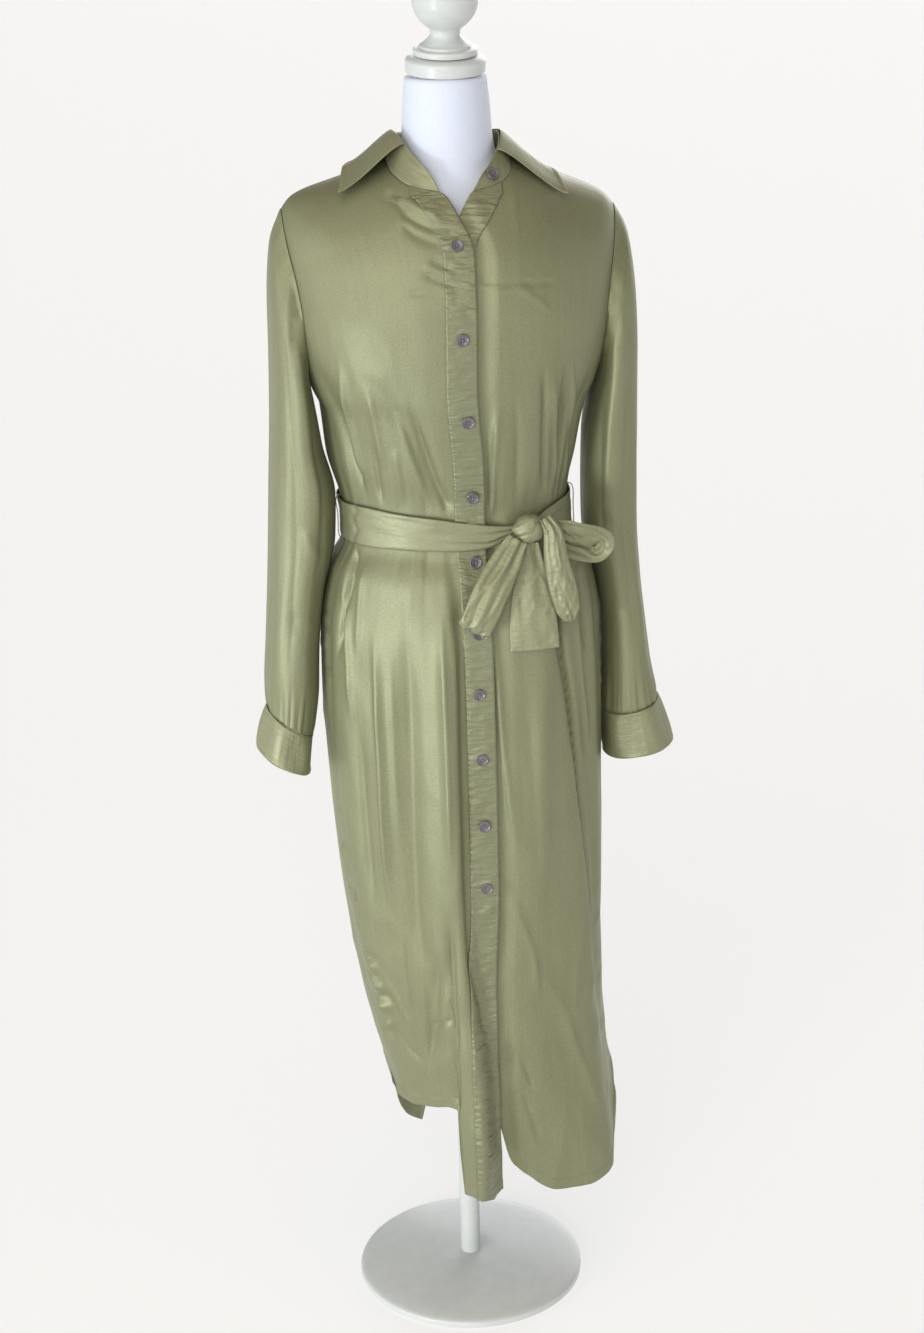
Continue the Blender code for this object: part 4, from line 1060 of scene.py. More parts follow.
LEFT_BY_X = marks_of(Crease, BY_X, (
    (((17.5, 1282.2), (43.9, 1280.2), (76.8, 1283.6), (111.1, 1289.8)), -1.6, 1.8, 1.8, 0.05),
    (((18, 1276.5), (44, 1274.5), (75, 1277.5)), 1, 1.8, 1.8, 0.05),
    (((54.6, 1277.5), (76.1, 1267.4), (98, 1249.5)), 1.4, 2.2, 2.2),
    (((83.6, 1200.5), (86.4, 1150), (87.3, 1088.7), (89.6, 1022.9)), -5.6, 4.3, 2.9),
    (((95.3, 1184.4), (101.2, 1122.7), (105.3, 1059), (105.6, 1019.9)), 4, 3.6, 3.6),
    (((110.7, 1194.9), (111.1, 1131.8), (108.2, 1082.5), (104.1, 1021.7)), -6.4, 2.9, 2.9),
    (((119, 1204.4), (121.7, 1141.6), (120.3, 1077), (114.6, 1018)), 4, 3.6, 3.6),
    (((32.5, 1156), (32.7, 1121.8), (30.4, 1063), (30, 1014.9)), 4.5, 3.6, 3.6, 0.3, 0.1),
    (((22, 1133.6), (22.7, 1061.4), (25.5, 1015.2)), -1.9, 2.9, 2.9),
    (((52.1, 1165.6), (56.1, 1108.2), (56.7, 1034.4)), -3.2, 5, 5),
    (((27.4, 898.3), (29.1, 837.6), (32.4, 776.2), (39.9, 694.2), (47.7, 607.8)), 4.5, 3.6, 5.8),
    (((95.2, 940.6), (102.4, 885), (116.2, 799.4), (124.8, 729.9), (131.6, 658.4), (140.2, 564.4),
      (151.4, 397.6)), -14, 5.8, 2.9, 0.1),
    (((124.7, 953.3), (133.1, 884), (141.7, 831.5)), -6.4, 2.9, 2.9, 0.1),
    (((114.8, 952.6), (123.6, 887.6), (133.6, 802.8), (144.6, 711.8)), 4.8, 4.3, 4.3),
    (((39.3, 567.6), (55, 530.9), (65.6, 490.2), (72.4, 423.3)), 2.4, 3.6, 3.6),
    (((46.4, 367.7), (55.8, 346.6), (64, 316.9)), -3.2, 2.9, 2.9),
    (((49.6, 322.9), (59.1, 291.4), (71.2, 244.9)), -2.9, 3.6, 3.6),
    (((30.5, 595.8), (43.9, 576.4), (61.2, 553.2)), -1.9, 3.6, 3.6),
    (((97.6, 429.6), (123, 341.9), (149.2, 251.2)), 3.2, 7.2, 7.2),
    (((60, 840), (66, 720), (74, 560)), -2.6, 10.1, 10.1),
))
LEFT_BY_TURN = marks_of(Pucker, BY_TURN, (
    (((80, 905), (79, 850), (78, 780)), 1.4, 8, 10, 6),
    (((70, 560), (70, 450), (66, 340), (58, 240)), 1.2, 14, 14, 7),
))
BACK_BY_TURN = marks_of(Crease, BY_TURN, (
    (((118, 1150), (122, 1090), (126, 1026)), -5.3, 4.3, 3.6),
    (((132, 1175), (134, 1100), (137, 1024)), 4.2, 4.3, 4.3),
    (((152, 1140), (153, 1080), (156, 1022)), -4.5, 3.6, 4.3),
    (((168, 1180), (168, 1100), (170, 1022)), 3.9, 5, 4.3),
    (((190, 1130), (189, 1080), (188, 1022)), 3.6, 4.3, 4.3),
    (((205, 1165), (202, 1095), (199, 1022)), -5.1, 3.6, 4.3),
    (((232, 1150), (229, 1085), (226, 1024)), -4.5, 4.3, 3.6),
    (((244, 1165), (241, 1100), (238, 1024)), 4.2, 4.3, 4.3),
    (((124, 965), (128, 840), (130, 640)), 6, 6.5, 4.3, 0.15),
    (((147, 968), (148, 820), (152, 560)), 5.1, 5, 7.2, 0.15),
    (((176, 968), (176, 880), (174, 720)), -6, 4.3, 6.5, 0.1),
    (((203, 966), (201, 860), (200, 620)), 5.1, 6.5, 5, 0.15),
    (((227, 966), (226, 840), (222, 680)), -5.4, 5, 6.5, 0.1),
    (((252, 960), (250, 850), (247, 700)), 4.5, 5, 4.3, 0.15),
    (((160, 520), (170, 440), (186, 390)), 3, 7.2, 5.8),
    (((216, 560), (208, 470), (196, 410)), -2.7, 5.8, 7.2),
    (((140, 470), (150, 400), (158, 330)), -3, 5.8, 5.8),
    (((128, 1345), (150, 1330), (172, 1325)), -1.8, 4.3, 4.3),
    (((234, 1340), (214, 1318), (192, 1310)), -1.8, 4.3, 4.3),
)) + marks_of(Pucker, BY_TURN, (
    (((100, 900), (101, 700), (103, 500), (100, 340)), 2.4, 12, 12, 8),
    (((260, 900), (259, 700), (258, 500), (260, 340)), 2.7, 12, 12, 9),
))


@dataclass(frozen=True)
class Wave:
    """One layer of unevenness: noise over turn and height that slants as it goes up."""

    out: float
    turn_pitch: float
    height_pitch: float
    slant: float
    seed: int

    def push(self, turn: Array, height: Array, seed: int) -> Array:
        """The layer's push: out * noise(turn / pitch + height * slant, height / pitch)."""
        across = turn / self.turn_pitch + height * self.slant
        return self.out * smooth_noise(across, height / self.height_pitch, seed + self.seed)


HANGING = (Wave(0.0008, 12.0, 0.26, 1.5, 0), Wave(0.00018, 3.6, 0.13, 3.0, 1),
           Wave(0.00007, 2.0, 0.022, 14.0, 3))
GATHERED = (Wave(0.0013, 3.4, 0.35, 0.0, 2), Wave(0.0016, 6.5, 0.40, 0.0, 9))


class Side(Enum):
    """The wearer's right or left, as the sign of X."""

    RIGHT = -1.0
    LEFT = 1.0


@dataclass
class Panel:
    """One dressed panel: its grids, its outer face and its outward normals."""

    turn: Array
    height: Array
    points: Array
    normals: Array


@dataclass
class Bodice:
    """The two fronts and the back, with the placket and the button band."""

    finishes: Finishes
    cloth: float = 0.0010
    strip: float = 0.0009
    strip_gap: float = 0.0008
    strip_ripple: float = 0.0013
    placket_width: float = 0.033
    skirt_split: float = 0.60
    foot: float = 0.200
    strip_top: float = 1.3685
    lap_columns: int = 15
    columns: int = 104
    back_columns: int = 112
    rows: int = 354
    seam_turn: float = 0.06
    neck_split: float = 1.33
    high_shoulder_x: float = 0.067
    back_neck: float = 1.386
    hem_turn: float = 0.013
    hem_lift: float = 0.0006
    hem_ripple: float = 0.0017
    hem_rows: tuple[float, ...] = (0.0, 0.0025, 0.005, 0.0075, 0.010, 0.012, 0.0135, 0.015, 0.018, 0.021)
    neck_rows: int = 41
    neck_dip_run: float = 0.045
    shoulder_hold: float = 1.372
    shoulder_fade: float = 0.020
    belt_hold: float = 0.029
    seam_fade: float = 0.012
    belt_half: float = 0.022
    gathers_above: float = 0.045
    gathers_below: float = 0.060
    blouse_height: float = 0.950
    blouse_reach: float = 0.024
    blouse_out: float = 0.0030
    wrinkle_out: float = 0.0024
    cross_wrinkle_out: float = 0.0015
    wrinkle_top: float = 0.62
    wrinkle_run: float = 0.20
    body_start: float = 0.0245
    hem_reach: float = 0.022
    hem_probe: float = 0.22
    ripple_pitch: float = 0.016
    ripple_rise: float = 0.03
    stitch_dip: float = 0.0002
    panels: dict[str, Panel] = field(default_factory=dict)

    def row_heights(self) -> Array:
        """Nominal ring heights of all rows: closer together at the hem and the neck.

        Returns:
            One height a row.
        """
        hem = self.foot + np.array(self.hem_rows)
        body_rows = self.rows - len(self.hem_rows) - self.neck_rows + 1
        body = np.linspace(self.body_start, self.neck_split - self.foot, body_rows) + self.foot
        rise = np.linspace(0.0, 1.0, self.neck_rows)[1:] ** 0.85
        return np.concatenate([hem, body, self.neck_split + (RINGS.shoulder_top - self.neck_split) * rise])

    def follow_hem(self, nominal: Array, low: Array) -> Array:
        """Ring heights below the split spread down to the hem, others stay.

        Args:
            nominal: nominal heights, one a row.
            low: hem heights, one a column.

        Returns:
            The grid of ring heights.
        """
        lift = (self.skirt_split - nominal) / (self.skirt_split - self.foot)
        return np.where(nominal < self.skirt_split, self.skirt_split - (self.skirt_split - low) * lift,
                        nominal + 0.0 * low)

    def front_turns(self, side: Side, height: Array) -> Array:
        """Turns across a front: the strip's columns, then out to the seam or armhole.

        Args:
            side: which front.
            height: one ring height a row, or a grid of them.

        Returns:
            Turns, one a column.
        """
        edge = "lap_x" if side is Side.RIGHT else "band_x"
        share = np.linspace(0.0, 1.0, self.lap_columns)
        across = FRONT_EDGE.read(edge, height) + side.value * self.placket_width * share
        strip = RINGS.turn_at(across, height)
        outer = np.where(height <= RINGS.armpit, 90.0, ARMHOLE.read("front_turn", height))
        outer = side.value * (outer - self.seam_turn)
        share = np.linspace(0.0, 1.0, self.columns - self.lap_columns + 1)[1:] ** 1.08
        inner = strip[..., -1:]
        return np.concatenate([strip, inner + (outer - inner) * share], axis=-1)

    def front_grid(self, side: Side) -> tuple[Array, Array]:
        """Turn and height grids of a front, with rows that follow the hem below.

        Args:
            side: which front.

        Returns:
            Turns and ring heights, one each a point.
        """
        hem = RIGHT_HEM if side is Side.RIGHT else LEFT_HEM
        nominal = self.row_heights()[:, None]
        low = hem.read("height", self.front_turns(side, np.full((1, 1), self.hem_probe)))
        height = self.follow_hem(nominal, low)
        turn = np.stack([self.front_turns(side, height[:, i:i + 1])[:, i]
                         for i in range(self.columns)], axis=-1)
        return turn, height

    def back_top(self, turn: Array) -> Array:
        """Ring height of the back's top edge: the shoulder seam, then the neckline."""
        x = RINGS.point(turn, RINGS.shoulder_top)[..., 0]
        dip = soft_step((self.high_shoulder_x - np.abs(x)) / self.neck_dip_run)
        return RINGS.shoulder_top - (RINGS.shoulder_top - self.back_neck) * dip

    def back_grid(self) -> tuple[Array, Array]:
        """Turn and height grids of the back.

        Returns:
            Turns and ring heights, one each a point.
        """
        share = np.linspace(0.0, 1.0, self.back_columns)[None, :]
        nominal = self.row_heights()[:, None]
        height = self.follow_hem(nominal, BACK_HEM.read("height", 90.0 + 180.0 * share))
        side = np.where(height <= RINGS.armpit, 90.0, ARMHOLE.read("back_turn", height)) + self.seam_turn
        turn = side + (360.0 - 2.0 * side) * share
        stretch = (height - self.neck_split) / (RINGS.shoulder_top - self.neck_split)
        raised = self.neck_split + (self.back_top(turn) - self.neck_split) * stretch
        return turn, np.where(height > self.neck_split, raised, height)

    def quiet(self, height: Array, from_edge: Array) -> Array:
        """Where creases die out: under the belt, at the shoulder seam and at side edges.

        Args:
            height: ring heights.
            from_edge: metres from the nearest seam edge.

        Returns:
            A factor from 0 to 1.
        """
        belt = 1.0 - 0.9 * bell(height - RINGS.waist, self.belt_hold, 4.0)
        shoulder = 1.0 - soft_step((height - self.shoulder_hold) / self.shoulder_fade)
        return belt * shoulder * soft_step(from_edge / self.seam_fade)

    def soft_waves(self, turn: Array, height: Array, seed: int) -> Array:
        """Unevenness of hanging satin.

        The sum of long and fine noise down the cloth, gathers that run out above and
        below the belt, the cloth's fullness just under the belt, and wrinkles (a half
        less the size of slanting noise, which leaves narrow ridges) that grow below.

        Args:
            turn: turn grid.
            height: ring height grid.
            seed: picks one pattern.

        Returns:
            The push in metres.
        """
        hanging = sum(wave.push(turn, height, seed) for wave in HANGING)
        above = np.maximum(height - RINGS.waist - self.belt_half, 0.0)
        below = np.maximum(RINGS.waist - self.belt_half - height, 0.0)
        near_belt = np.exp(-above / self.gathers_above) * np.exp(-below / self.gathers_below)
        gathers = sum(wave.push(turn, height, seed) for wave in GATHERED) * near_belt
        fullness = bell(height - self.blouse_height, self.blouse_reach) * np.abs(np.cos(np.radians(turn)))
        slant = smooth_noise(turn / 17.0 + height * 9.0, height / 0.075 - turn / 40.0, seed + 7)
        cross = smooth_noise(turn / 13.0 - height * 8.0, height / 0.060 + turn / 50.0, seed + 8)
        wrinkle = self.wrinkle_out * (0.5 - np.abs(slant)) + self.cross_wrinkle_out * (0.5 - np.abs(cross))
        wrinkle = wrinkle * (0.25 + 0.75 * soft_step((self.wrinkle_top - height) / self.wrinkle_run))
        return hanging + gathers + self.blouse_out * fullness + wrinkle

    def dressed(self, face: Face, turn: Array, height: Array, marks_x: Sequence[Crease | Pucker],
                marks_turn: Sequence[Crease | Pucker], seed: int, inner: bool) -> Panel:
        """Pushes a plain panel out along its normal by its creases, puckers and hem.

        Args:
            face: the plain face.
            turn: turn grid.
            height: ring height grid.
            marks_x: marks whose paths are read by x.
            marks_turn: marks whose paths are read by turn.
            seed: picks the soft waves.
            inner: the first column is a free edge rather than a seam.

        Returns:
            The dressed panel.
        """
        points = face(turn, height)
        normals = normals_of(points, flip=turn[0, -1] < turn[0, 0])
        run = np.cumsum(np.linalg.norm(np.diff(points, axis=1), axis=2), axis=1)
        run = np.concatenate([np.zeros((len(points), 1)), run], axis=1)
        edge = run[:, -1:] - run
        if not inner:
            edge = np.minimum(edge, run)
        push = worked_push(points, normals, lambda x, h: face(RINGS.turn_at(x, h), h), marks_x)
        push += worked_push(points, normals, face, marks_turn)
        push = (push + self.soft_waves(turn, height, seed)) * self.quiet(height, edge)
        above_hem = np.linalg.norm(points - points[:1], axis=2)
        ripple = smooth_noise(run / self.ripple_pitch, above_hem / self.ripple_rise, seed + 5)
        push += self.hem_lift * (1.0 - soft_step((above_hem - self.hem_turn + 0.001) / 0.0022))
        push += self.hem_ripple * ripple * bell(above_hem, self.hem_reach)
        return Panel(turn, height, points + normals * push[..., None], normals)

    def up_to_neckline(self, panel: Panel, points: Array, normals: Array,
                       height: Array) -> tuple[Array, Array, Array]:
        """Carries a strip's top end on from its level end to the slanting neckline.

        Each column keeps its place across, while the panel's own edge runs out over
        it, so a column ends where the panel's edge reaches it.

        Args:
            panel: the dressed front.
            points: the strip's points up to its level end.
            normals: normals there.
            height: ring heights there.

        Returns:
            Points, normals and heights with more rows on top.
        """
        row_height = self.row_heights()
        level, place = row_height[len(points) - 1], points[-1, :, 0]
        outward = 1.0 if panel.points[0, -1, 0] > panel.points[0, 0, 0] else -1.0
        above = slice(len(points) - 1, len(row_height))
        edge = panel.points[above, 0, 0] * outward
        top = np.interp(place * outward, np.maximum.accumulate(edge), row_height[above])
        more_points, more_normals, more_height = [], [], []
        for share in np.linspace(0.0, 1.0, 9)[1:]:
            wanted = level + (top - level) * share
            at = np.interp(wanted, row_height, np.arange(len(row_height)))
            at = np.clip(at, 0, len(row_height) - 1.001)
            low = at.astype(int)
            part = (at - low)[:, None]
            new = []
            for source in (panel.points, panel.normals):
                ends = []
                for row in (low, low + 1):
                    ends.append(np.array([read_line(source[r], panel.points[r, :, 0] * outward, x * outward)
                                          for x, r in zip(place, row)]))
                new.append(ends[0] * (1.0 - part) + ends[1] * part)
            more_points.append(new[0])
            more_normals.append(unit(new[1]))
            more_height.append(wanted)
        return (np.concatenate([points, np.stack(more_points)]),
                np.concatenate([normals, np.stack(more_normals)]),
                np.concatenate([height, np.stack(more_height)]))

    @staticmethod
    def rows_between(grid: Array) -> Array:
        """A grid with one more row half way between each two rows.

        Args:
            grid: the rows.

        Returns:
            The finer grid, whose new rows are means.
        """
        fine = np.empty((2 * len(grid) - 1, *grid.shape[1:]))
        fine[::2] = grid
        fine[1::2] = (grid[1:] + grid[:-1]) / 2.0
        return fine

    def strip_on(self, panel: Panel, seed: int) -> Array:
        """The strip on a front's edge: the panel's own columns, moved out and puckered.

        Args:
            panel: the dressed front.
            seed: picks the puckers.

        Returns:
            The strip's outer face.
        """
        rows = slice(0, int(np.searchsorted(self.row_heights(), self.strip_top)) + 1)
        lap = slice(0, self.lap_columns)
        points, normals = panel.points[rows, lap], panel.normals[rows, lap]
        height = np.broadcast_to(panel.height, panel.turn.shape)[rows, lap]
        grids = self.up_to_neckline(panel, points, normals, height)
        points, normals, height = (self.rows_between(grid) for grid in grids)
        share = np.linspace(0.0, 1.0, self.lap_columns)[None, :]
        between = np.sin(share * math.pi) ** 0.7
        strength = 0.35 + 0.65 * soft_step((0.90 - height) / 0.15)
        strength = strength + 0.5 * soft_step((height - 1.26) / 0.03)
        ripple = smooth_noise(share * 1.6 + height * 40.0, height / 0.0062, seed)
        ripple = ripple + 0.6 * smooth_noise(share * 3.0, height / 0.011, seed + 1)
        gap = self.strip_gap * (1.0 + soft_step((0.50 - height) / 0.15)) + self.strip
        gap = gap + self.strip_ripple * np.maximum(ripple, -0.55) * between * strength
        sewn = bell(share - 0.93, 0.05) + bell(share - 0.07, 0.05)
        gap = gap - self.stitch_dip * sewn
        return points + normals * gap[..., None]

    def build(self) -> None:
        """Makes the fronts, their strips and the back."""
        self.build_front(Side.RIGHT, "right_front", "placket", (RIGHT_BY_X, RIGHT_BY_TURN), (11, 31))
        self.build_front(Side.LEFT, "left_front", "button_band", (LEFT_BY_X, LEFT_BY_TURN), (23, 37))
        turn, height = self.back_grid()
        panel = self.dressed(RINGS.point, turn, height, (), BACK_BY_TURN, 41, inner=False)
        self.panels["back"] = panel
        piece = cloth_piece("sewn_back", panel.points, self.finishes.satin, self.cloth)
        put_for(piece, "back")

    def build_front(self, side: Side, name: str, strip_name: str,
                    marks: tuple[Sequence[Crease], Sequence[Pucker]], seeds: tuple[int, int]) -> None:
        """Makes one front and the strip on its edge.

        Args:
            side: which front.
            name: the front's solid.
            strip_name: its strip's solid.
            marks: its creases by x and its puckers by turn.
            seeds: pick the front's soft waves and the strip's puckers.
        """
        over = side is Side.RIGHT

        def face(turn: Array, height: Array) -> Array:
            """The front's plain outer face."""
            return RINGS.point(turn, height, roll=over, sunk=not over)

        turn, height = self.front_grid(side)
        panel = self.dressed(face, turn, height, *marks, seeds[0], inner=True)
        self.panels[name] = panel
        strip = self.strip_on(panel, seeds[1])
        self.panels[strip_name] = Panel(turn, height, strip, normals_of(strip, flip=over))
        points = panel.points
        if over:
            points, strip = points[:, ::-1], strip[:, ::-1]
        finishes = self.finishes
        put_for(cloth_piece(f"sewn_{name}", points, finishes.satin, self.cloth), name)
        piece = cloth_piece(f"sewn_{strip_name}", strip, finishes.strip, self.strip)
        put_for(piece, strip_name)


# ------------------------------------------------------------------ sleeves and cuffs
SECTION_COLUMNS = ("inner_x", "inner_z", "outer_x", "outer_z", "half_depth", "y")
ARMHOLE_SECTION = (158, 1155, 181.5, 1338, 54, -2)
SLEEVE_RIGHT = Table(SECTION_COLUMNS, (
    ARMHOLE_SECTION, (157.5, 1147, 195.5, 1306, 58.5, -2), (156, 1137, 200.5, 1255, 61, -3),
    (153.5, 1118, 201.5, 1198, 62, -4), (149, 1085, 204, 1120, 60, -4), (137, 1030, 208, 1050, 57, -3),
    (138.5, 980, 211.5, 985, 54, -1), (152, 920, 215.5, 920, 52, -1), (160, 860, 220, 862, 49, -3),
    (164, 802, 223.5, 816, 45, -6), (173.5, 746.5, 222.5, 781.5, 40.5, -10),
))
SLEEVE_LEFT = Table(SECTION_COLUMNS, (
    ARMHOLE_SECTION, (157.5, 1147, 197, 1306, 58.5, -2), (156, 1137, 203, 1255, 61, -3),
    (153, 1115, 205.5, 1195, 62, -4), (148.5, 1080, 205.5, 1112, 60, -4),
    (147.5, 1030, 205, 1045, 57, -3), (148, 980, 206, 982, 54, -1), (160, 920, 210, 922, 52, -1),
    (168.5, 862, 216.5, 865, 49, -3), (169.5, 805, 224, 811, 45, -6),
    (168, 752.5, 232.5, 766.5, 40.5, -10),
))
CUFF_RIGHT = Table(SECTION_COLUMNS, (
    (173.1, 745.9, 223.2, 780.9, 41.2, -10), (175.5, 723, 231, 757, 42, -12),
    (178, 701, 237, 734, 42.5, -14),
))
CUFF_LEFT = Table(SECTION_COLUMNS, (
    (167.6, 752, 233.1, 766, 41.2, -10), (168, 726, 241.5, 740, 42, -12),
    (170, 698.5, 250.5, 713, 42.5, -14),
))

# creases of a sleeve by turn round it (0 outer side, 90 front, 180 inner side) and table row
SLEEVE_MARKS = marks_of(Crease, BY_ROW, (
    (((62, 1), (70, 3.5), (74, 6), (80, 9)), 3, 11, 7, 0.15, 0.2),
    (((100, 0.9), (106, 2.5), (112, 4.5), (118, 6.5)), -3, 6, 9, 0.1, 0.4),
    (((128, 2.6), (124, 4.5), (118, 7)), 2.4, 8, 6), (((40, 4), (46, 6.5), (56, 9.6)), -2.2, 10, 10),
    (((88, 5.6), (104, 6.1), (128, 6.3)), -2, 6, 5), (((76, 7.2), (98, 7.6), (120, 7.5)), 1.4, 6, 6),
    (((20, 1.4), (8, 4.5), (4, 8.5)), 1.8, 12, 9), (((330, 1.2), (318, 3.2), (306, 6)), -2.6, 9, 7),
    (((292, 1.2), (284, 4), (280, 7)), 3, 8, 10), (((252, 1.6), (248, 3.5), (252, 6.5)), -2.6, 8, 6),
    (((300, 5.4), (282, 6), (262, 6.1)), -2, 6, 6),
)) + marks_of(Pucker, BY_ROW, (
    (((0, 0.05), (60, 0.05), (120, 0.05), (180, 0.05)), 0.8, 8, 10, 3, 0, 0),
    (((180, 0.05), (240, 0.05), (300, 0.05), (360, 0.05)), 0.8, 8, 10, 4, 0, 0),
))


def section(table: Table, side: float, along: Array, round_turn: Array) -> Array:
    """Ring of a sleeve or cuff: an ellipse between its inner and its outer point.

    Args:
        table: the sections, one a row.
        side: -1 on the wearer's right, 1 on the left.
        along: row number, whole or between rows.
        round_turn: 0 at the outer or top point, 90 degrees at the front.

    Returns:
        Points, with a last axis of x, y, z.
    """
    size = {name: table.by_row(name, along) for name in table.columns}
    cosine, sine = np.cos(np.radians(round_turn)), np.sin(np.radians(round_turn))
    x = (size["inner_x"] + size["outer_x"]) / 2 + (size["outer_x"] - size["inner_x"]) / 2 * cosine
    z = (size["inner_z"] + size["outer_z"]) / 2 + (size["outer_z"] - size["inner_z"]) / 2 * cosine
    y = size["y"] - size["half_depth"] * sine
    return np.stack(np.broadcast_arrays(side * x, y, z), axis=-1)


@dataclass
class Sleeve:
    """One sleeve with its cuff."""

    finishes: Finishes
    side: Side
    table: Table
    cuff_table: Table
    rows: int = 140
    columns: int = 116
    cuff_rows: int = 26
    cloth: float = 0.0010
    cuff_wall: float = 0.0014
    cuff_lap_turn: float = 292.0
    cuff_lap: float = 0.0012
    cuff_facet: float = 0.0022
    gather_depth: float = 0.0016
    drape_out: float = 0.0012
    fine_out: float = 0.00022
    armhole_rows: float = 2.2
    gather_rows: float = 1.5
    seam_rows: float = 0.12
    cuff_dip: float = 0.0003
    cuff_ripple: float = 0.00035
    cuff_steps: int = 170
    cuff_turn: float = 378.0
    cuff_points: Array | None = None
    cuff_normals: Array | None = None

    @property
    def word(self) -> str:
        """The side as a word."""
        return "right" if self.side is Side.RIGHT else "left"

    def outward(self, grid: Array) -> Array:
        """A grid turned round so that it faces outward; done twice, it is as before."""
        return grid[::-1] if self.side is Side.LEFT else grid[::-1, ::-1]

    def armhole_loop(self) -> Array:
        """Points round the armhole, evenly spaced from the shoulder down the front.

        Returns:
            Shape (columns, 3).
        """
        rise = np.linspace(RINGS.armpit, RINGS.shoulder_top, 160)
        sign = self.side.value
        front = RINGS.point(sign * ARMHOLE.read("front_turn", rise), rise)
        back = RINGS.point(sign * ARMHOLE.read("back_turn", rise), rise)
        loop = np.concatenate([front[::-1], back[1:]])
        run = run_along(loop)
        return read_line(loop, run, np.arange(self.columns) / self.columns * run[-1])

    def plain_face(self) -> tuple[Array, Array]:
        """The sleeve's plain face: the armhole's own loop easing into the sections.

        Returns:
            Points, and the table row of each row of points.
        """
        round_turn = np.arange(self.columns)[None, :] * 360.0 / self.columns
        along = (np.linspace(0.0, 1.0, self.rows) ** 1.15 * self.table.last)[:, None]
        sign = self.side.value
        own_shape = self.armhole_loop()[None] - section(self.table, sign, np.zeros((1, 1)), round_turn)
        fade = 1.0 - soft_step(along / self.armhole_rows)
        points = section(self.table, sign, along, round_turn) + own_shape * fade[..., None]
        points[0] += unit(points[1] - points[0]) * 0.0002
        return points, along

    def build_sleeve(self) -> None:
        """Makes the hanging sleeve, with its drapes and the gathers above the cuff."""
        points, along = self.plain_face()
        normals = self.outward(grid_normals(self.outward(points), wrap=True))
        full = np.concatenate([points, points[:, :1]], axis=1)

        def place(turn: Array, row: Array) -> Array:
            """Reads the plain face at a turn and a table row, between its points.

            Args:
                turn: turns round the sleeve in degrees.
                row: table rows.

            Returns:
                The points there.
            """
            at_row = np.interp(row, along[:, 0], np.arange(self.rows))
            at_col = np.clip(turn / 360.0, 0.0, 1.0) * self.columns
            low_r = np.clip(at_row.astype(int), 0, self.rows - 2)
            low_c = np.clip(at_col.astype(int), 0, self.columns - 1)
            share_r, share_c = (at_row - low_r)[:, None], (at_col - low_c)[:, None]
            top = full[low_r, low_c] * (1 - share_c) + full[low_r, low_c + 1] * share_c
            foot = full[low_r + 1, low_c] * (1 - share_c) + full[low_r + 1, low_c + 1] * share_c
            return top * (1 - share_r) + foot * share_r

        push = worked_push(points, normals, place, SLEEVE_MARKS)
        seed = 51 if self.side is Side.LEFT else 57
        angle = even_turns(self.columns)[None, :]
        ring = np.stack([2.2 * np.cos(angle), 2.2 * np.sin(angle)])
        push += self.drape_out * smooth_noise(ring[0] + 7.0, ring[1] + along * 0.35, seed)
        push += self.fine_out * smooth_noise(ring[0] * 3.4, ring[1] * 3.4 + along * 0.9, seed + 1)
        last = self.table.last
        pleats = smooth_noise(9.0 * np.cos(angle), 9.0 * np.sin(angle) + 0.2 * along, seed + 2)
        push += self.gather_depth * pleats * soft_step((along - (last - self.gather_rows)) / 1.3)
        at_cuff = soft_step((along - (last - self.seam_rows)) / self.seam_rows)
        hold = soft_step(along / 0.35) * (1.0 - 0.75 * at_cuff)
        face = self.outward(points + normals * (push * hold)[..., None])
        piece = cloth_piece(f"sewn_{self.word}_sleeve", face, self.finishes.satin,
                            self.cloth, wrap=True)
        put_for(piece, f"{self.word}_sleeve")

    def build_cuff(self) -> None:
        """Makes the cuff: a band whose end laps over itself, with soft flat facets."""
        share = np.linspace(0.0, 1.0, self.cuff_rows)[:, None]
        along = share * self.cuff_table.last
        into = np.linspace(0.0, self.cuff_turn, self.cuff_steps)[None, :]
        turn = self.cuff_lap_turn + into
        points = section(self.cuff_table, self.side.value, along, turn)
        outward = points - section(self.cuff_table, self.side.value, along, turn + 180.0)
        outward = unit(outward * np.array([1.0, 1.0, 0.3]))
        lap = self.cuff_lap * (soft_step((into - 340.0) / 20.0) - soft_step((20.0 - into) / 20.0) * 0.3)
        facet = self.cuff_facet * np.cos(np.radians(turn * 5.0 + 30.0)) * np.sin(share * math.pi) ** 0.5
        ripple = self.cuff_ripple * smooth_noise(into / 3.2, share * 1.5, 61)
        edge = -self.cuff_dip * (bell(share - 0.08, 0.035) + bell(share - 0.92, 0.035))
        face = self.outward(points + outward * (lap + facet + ripple + edge)[..., None])
        self.cuff_points = face
        self.cuff_normals = grid_normals(face)
        piece = cloth_piece(f"sewn_{self.word}_cuff", face, self.finishes.trim,
                            self.cuff_wall)
        put_for(piece, f"{self.word}_cuff")


# ------------------------------------------------------------------ collar
COLLAR_FOLD = Table(("along", "x", "y", "z"), (
    (0, 0, 56, 1415), (0.18, 30, 50, 1416), (0.32, 49, 32, 1418), (0.48, 57, 7, 1422.5),
    (0.62, 54, -16, 1418.5), (0.76, 48, -35, 1410), (0.88, 39, -53, 1399), (1, 29, -68, 1388),
))
LEAF_EDGE = Table(("along", "x", "y", "z"), (
    (0, 0, 86, 1370), (0.22, 45, 78, 1372), (0.42, 80, 54, 1380), (0.6, 103, 18, 1388),
    (0.76, 114, -14, 1387), (0.9, 120, -40, 1376), (1, 123.5, -58, 1366),
))


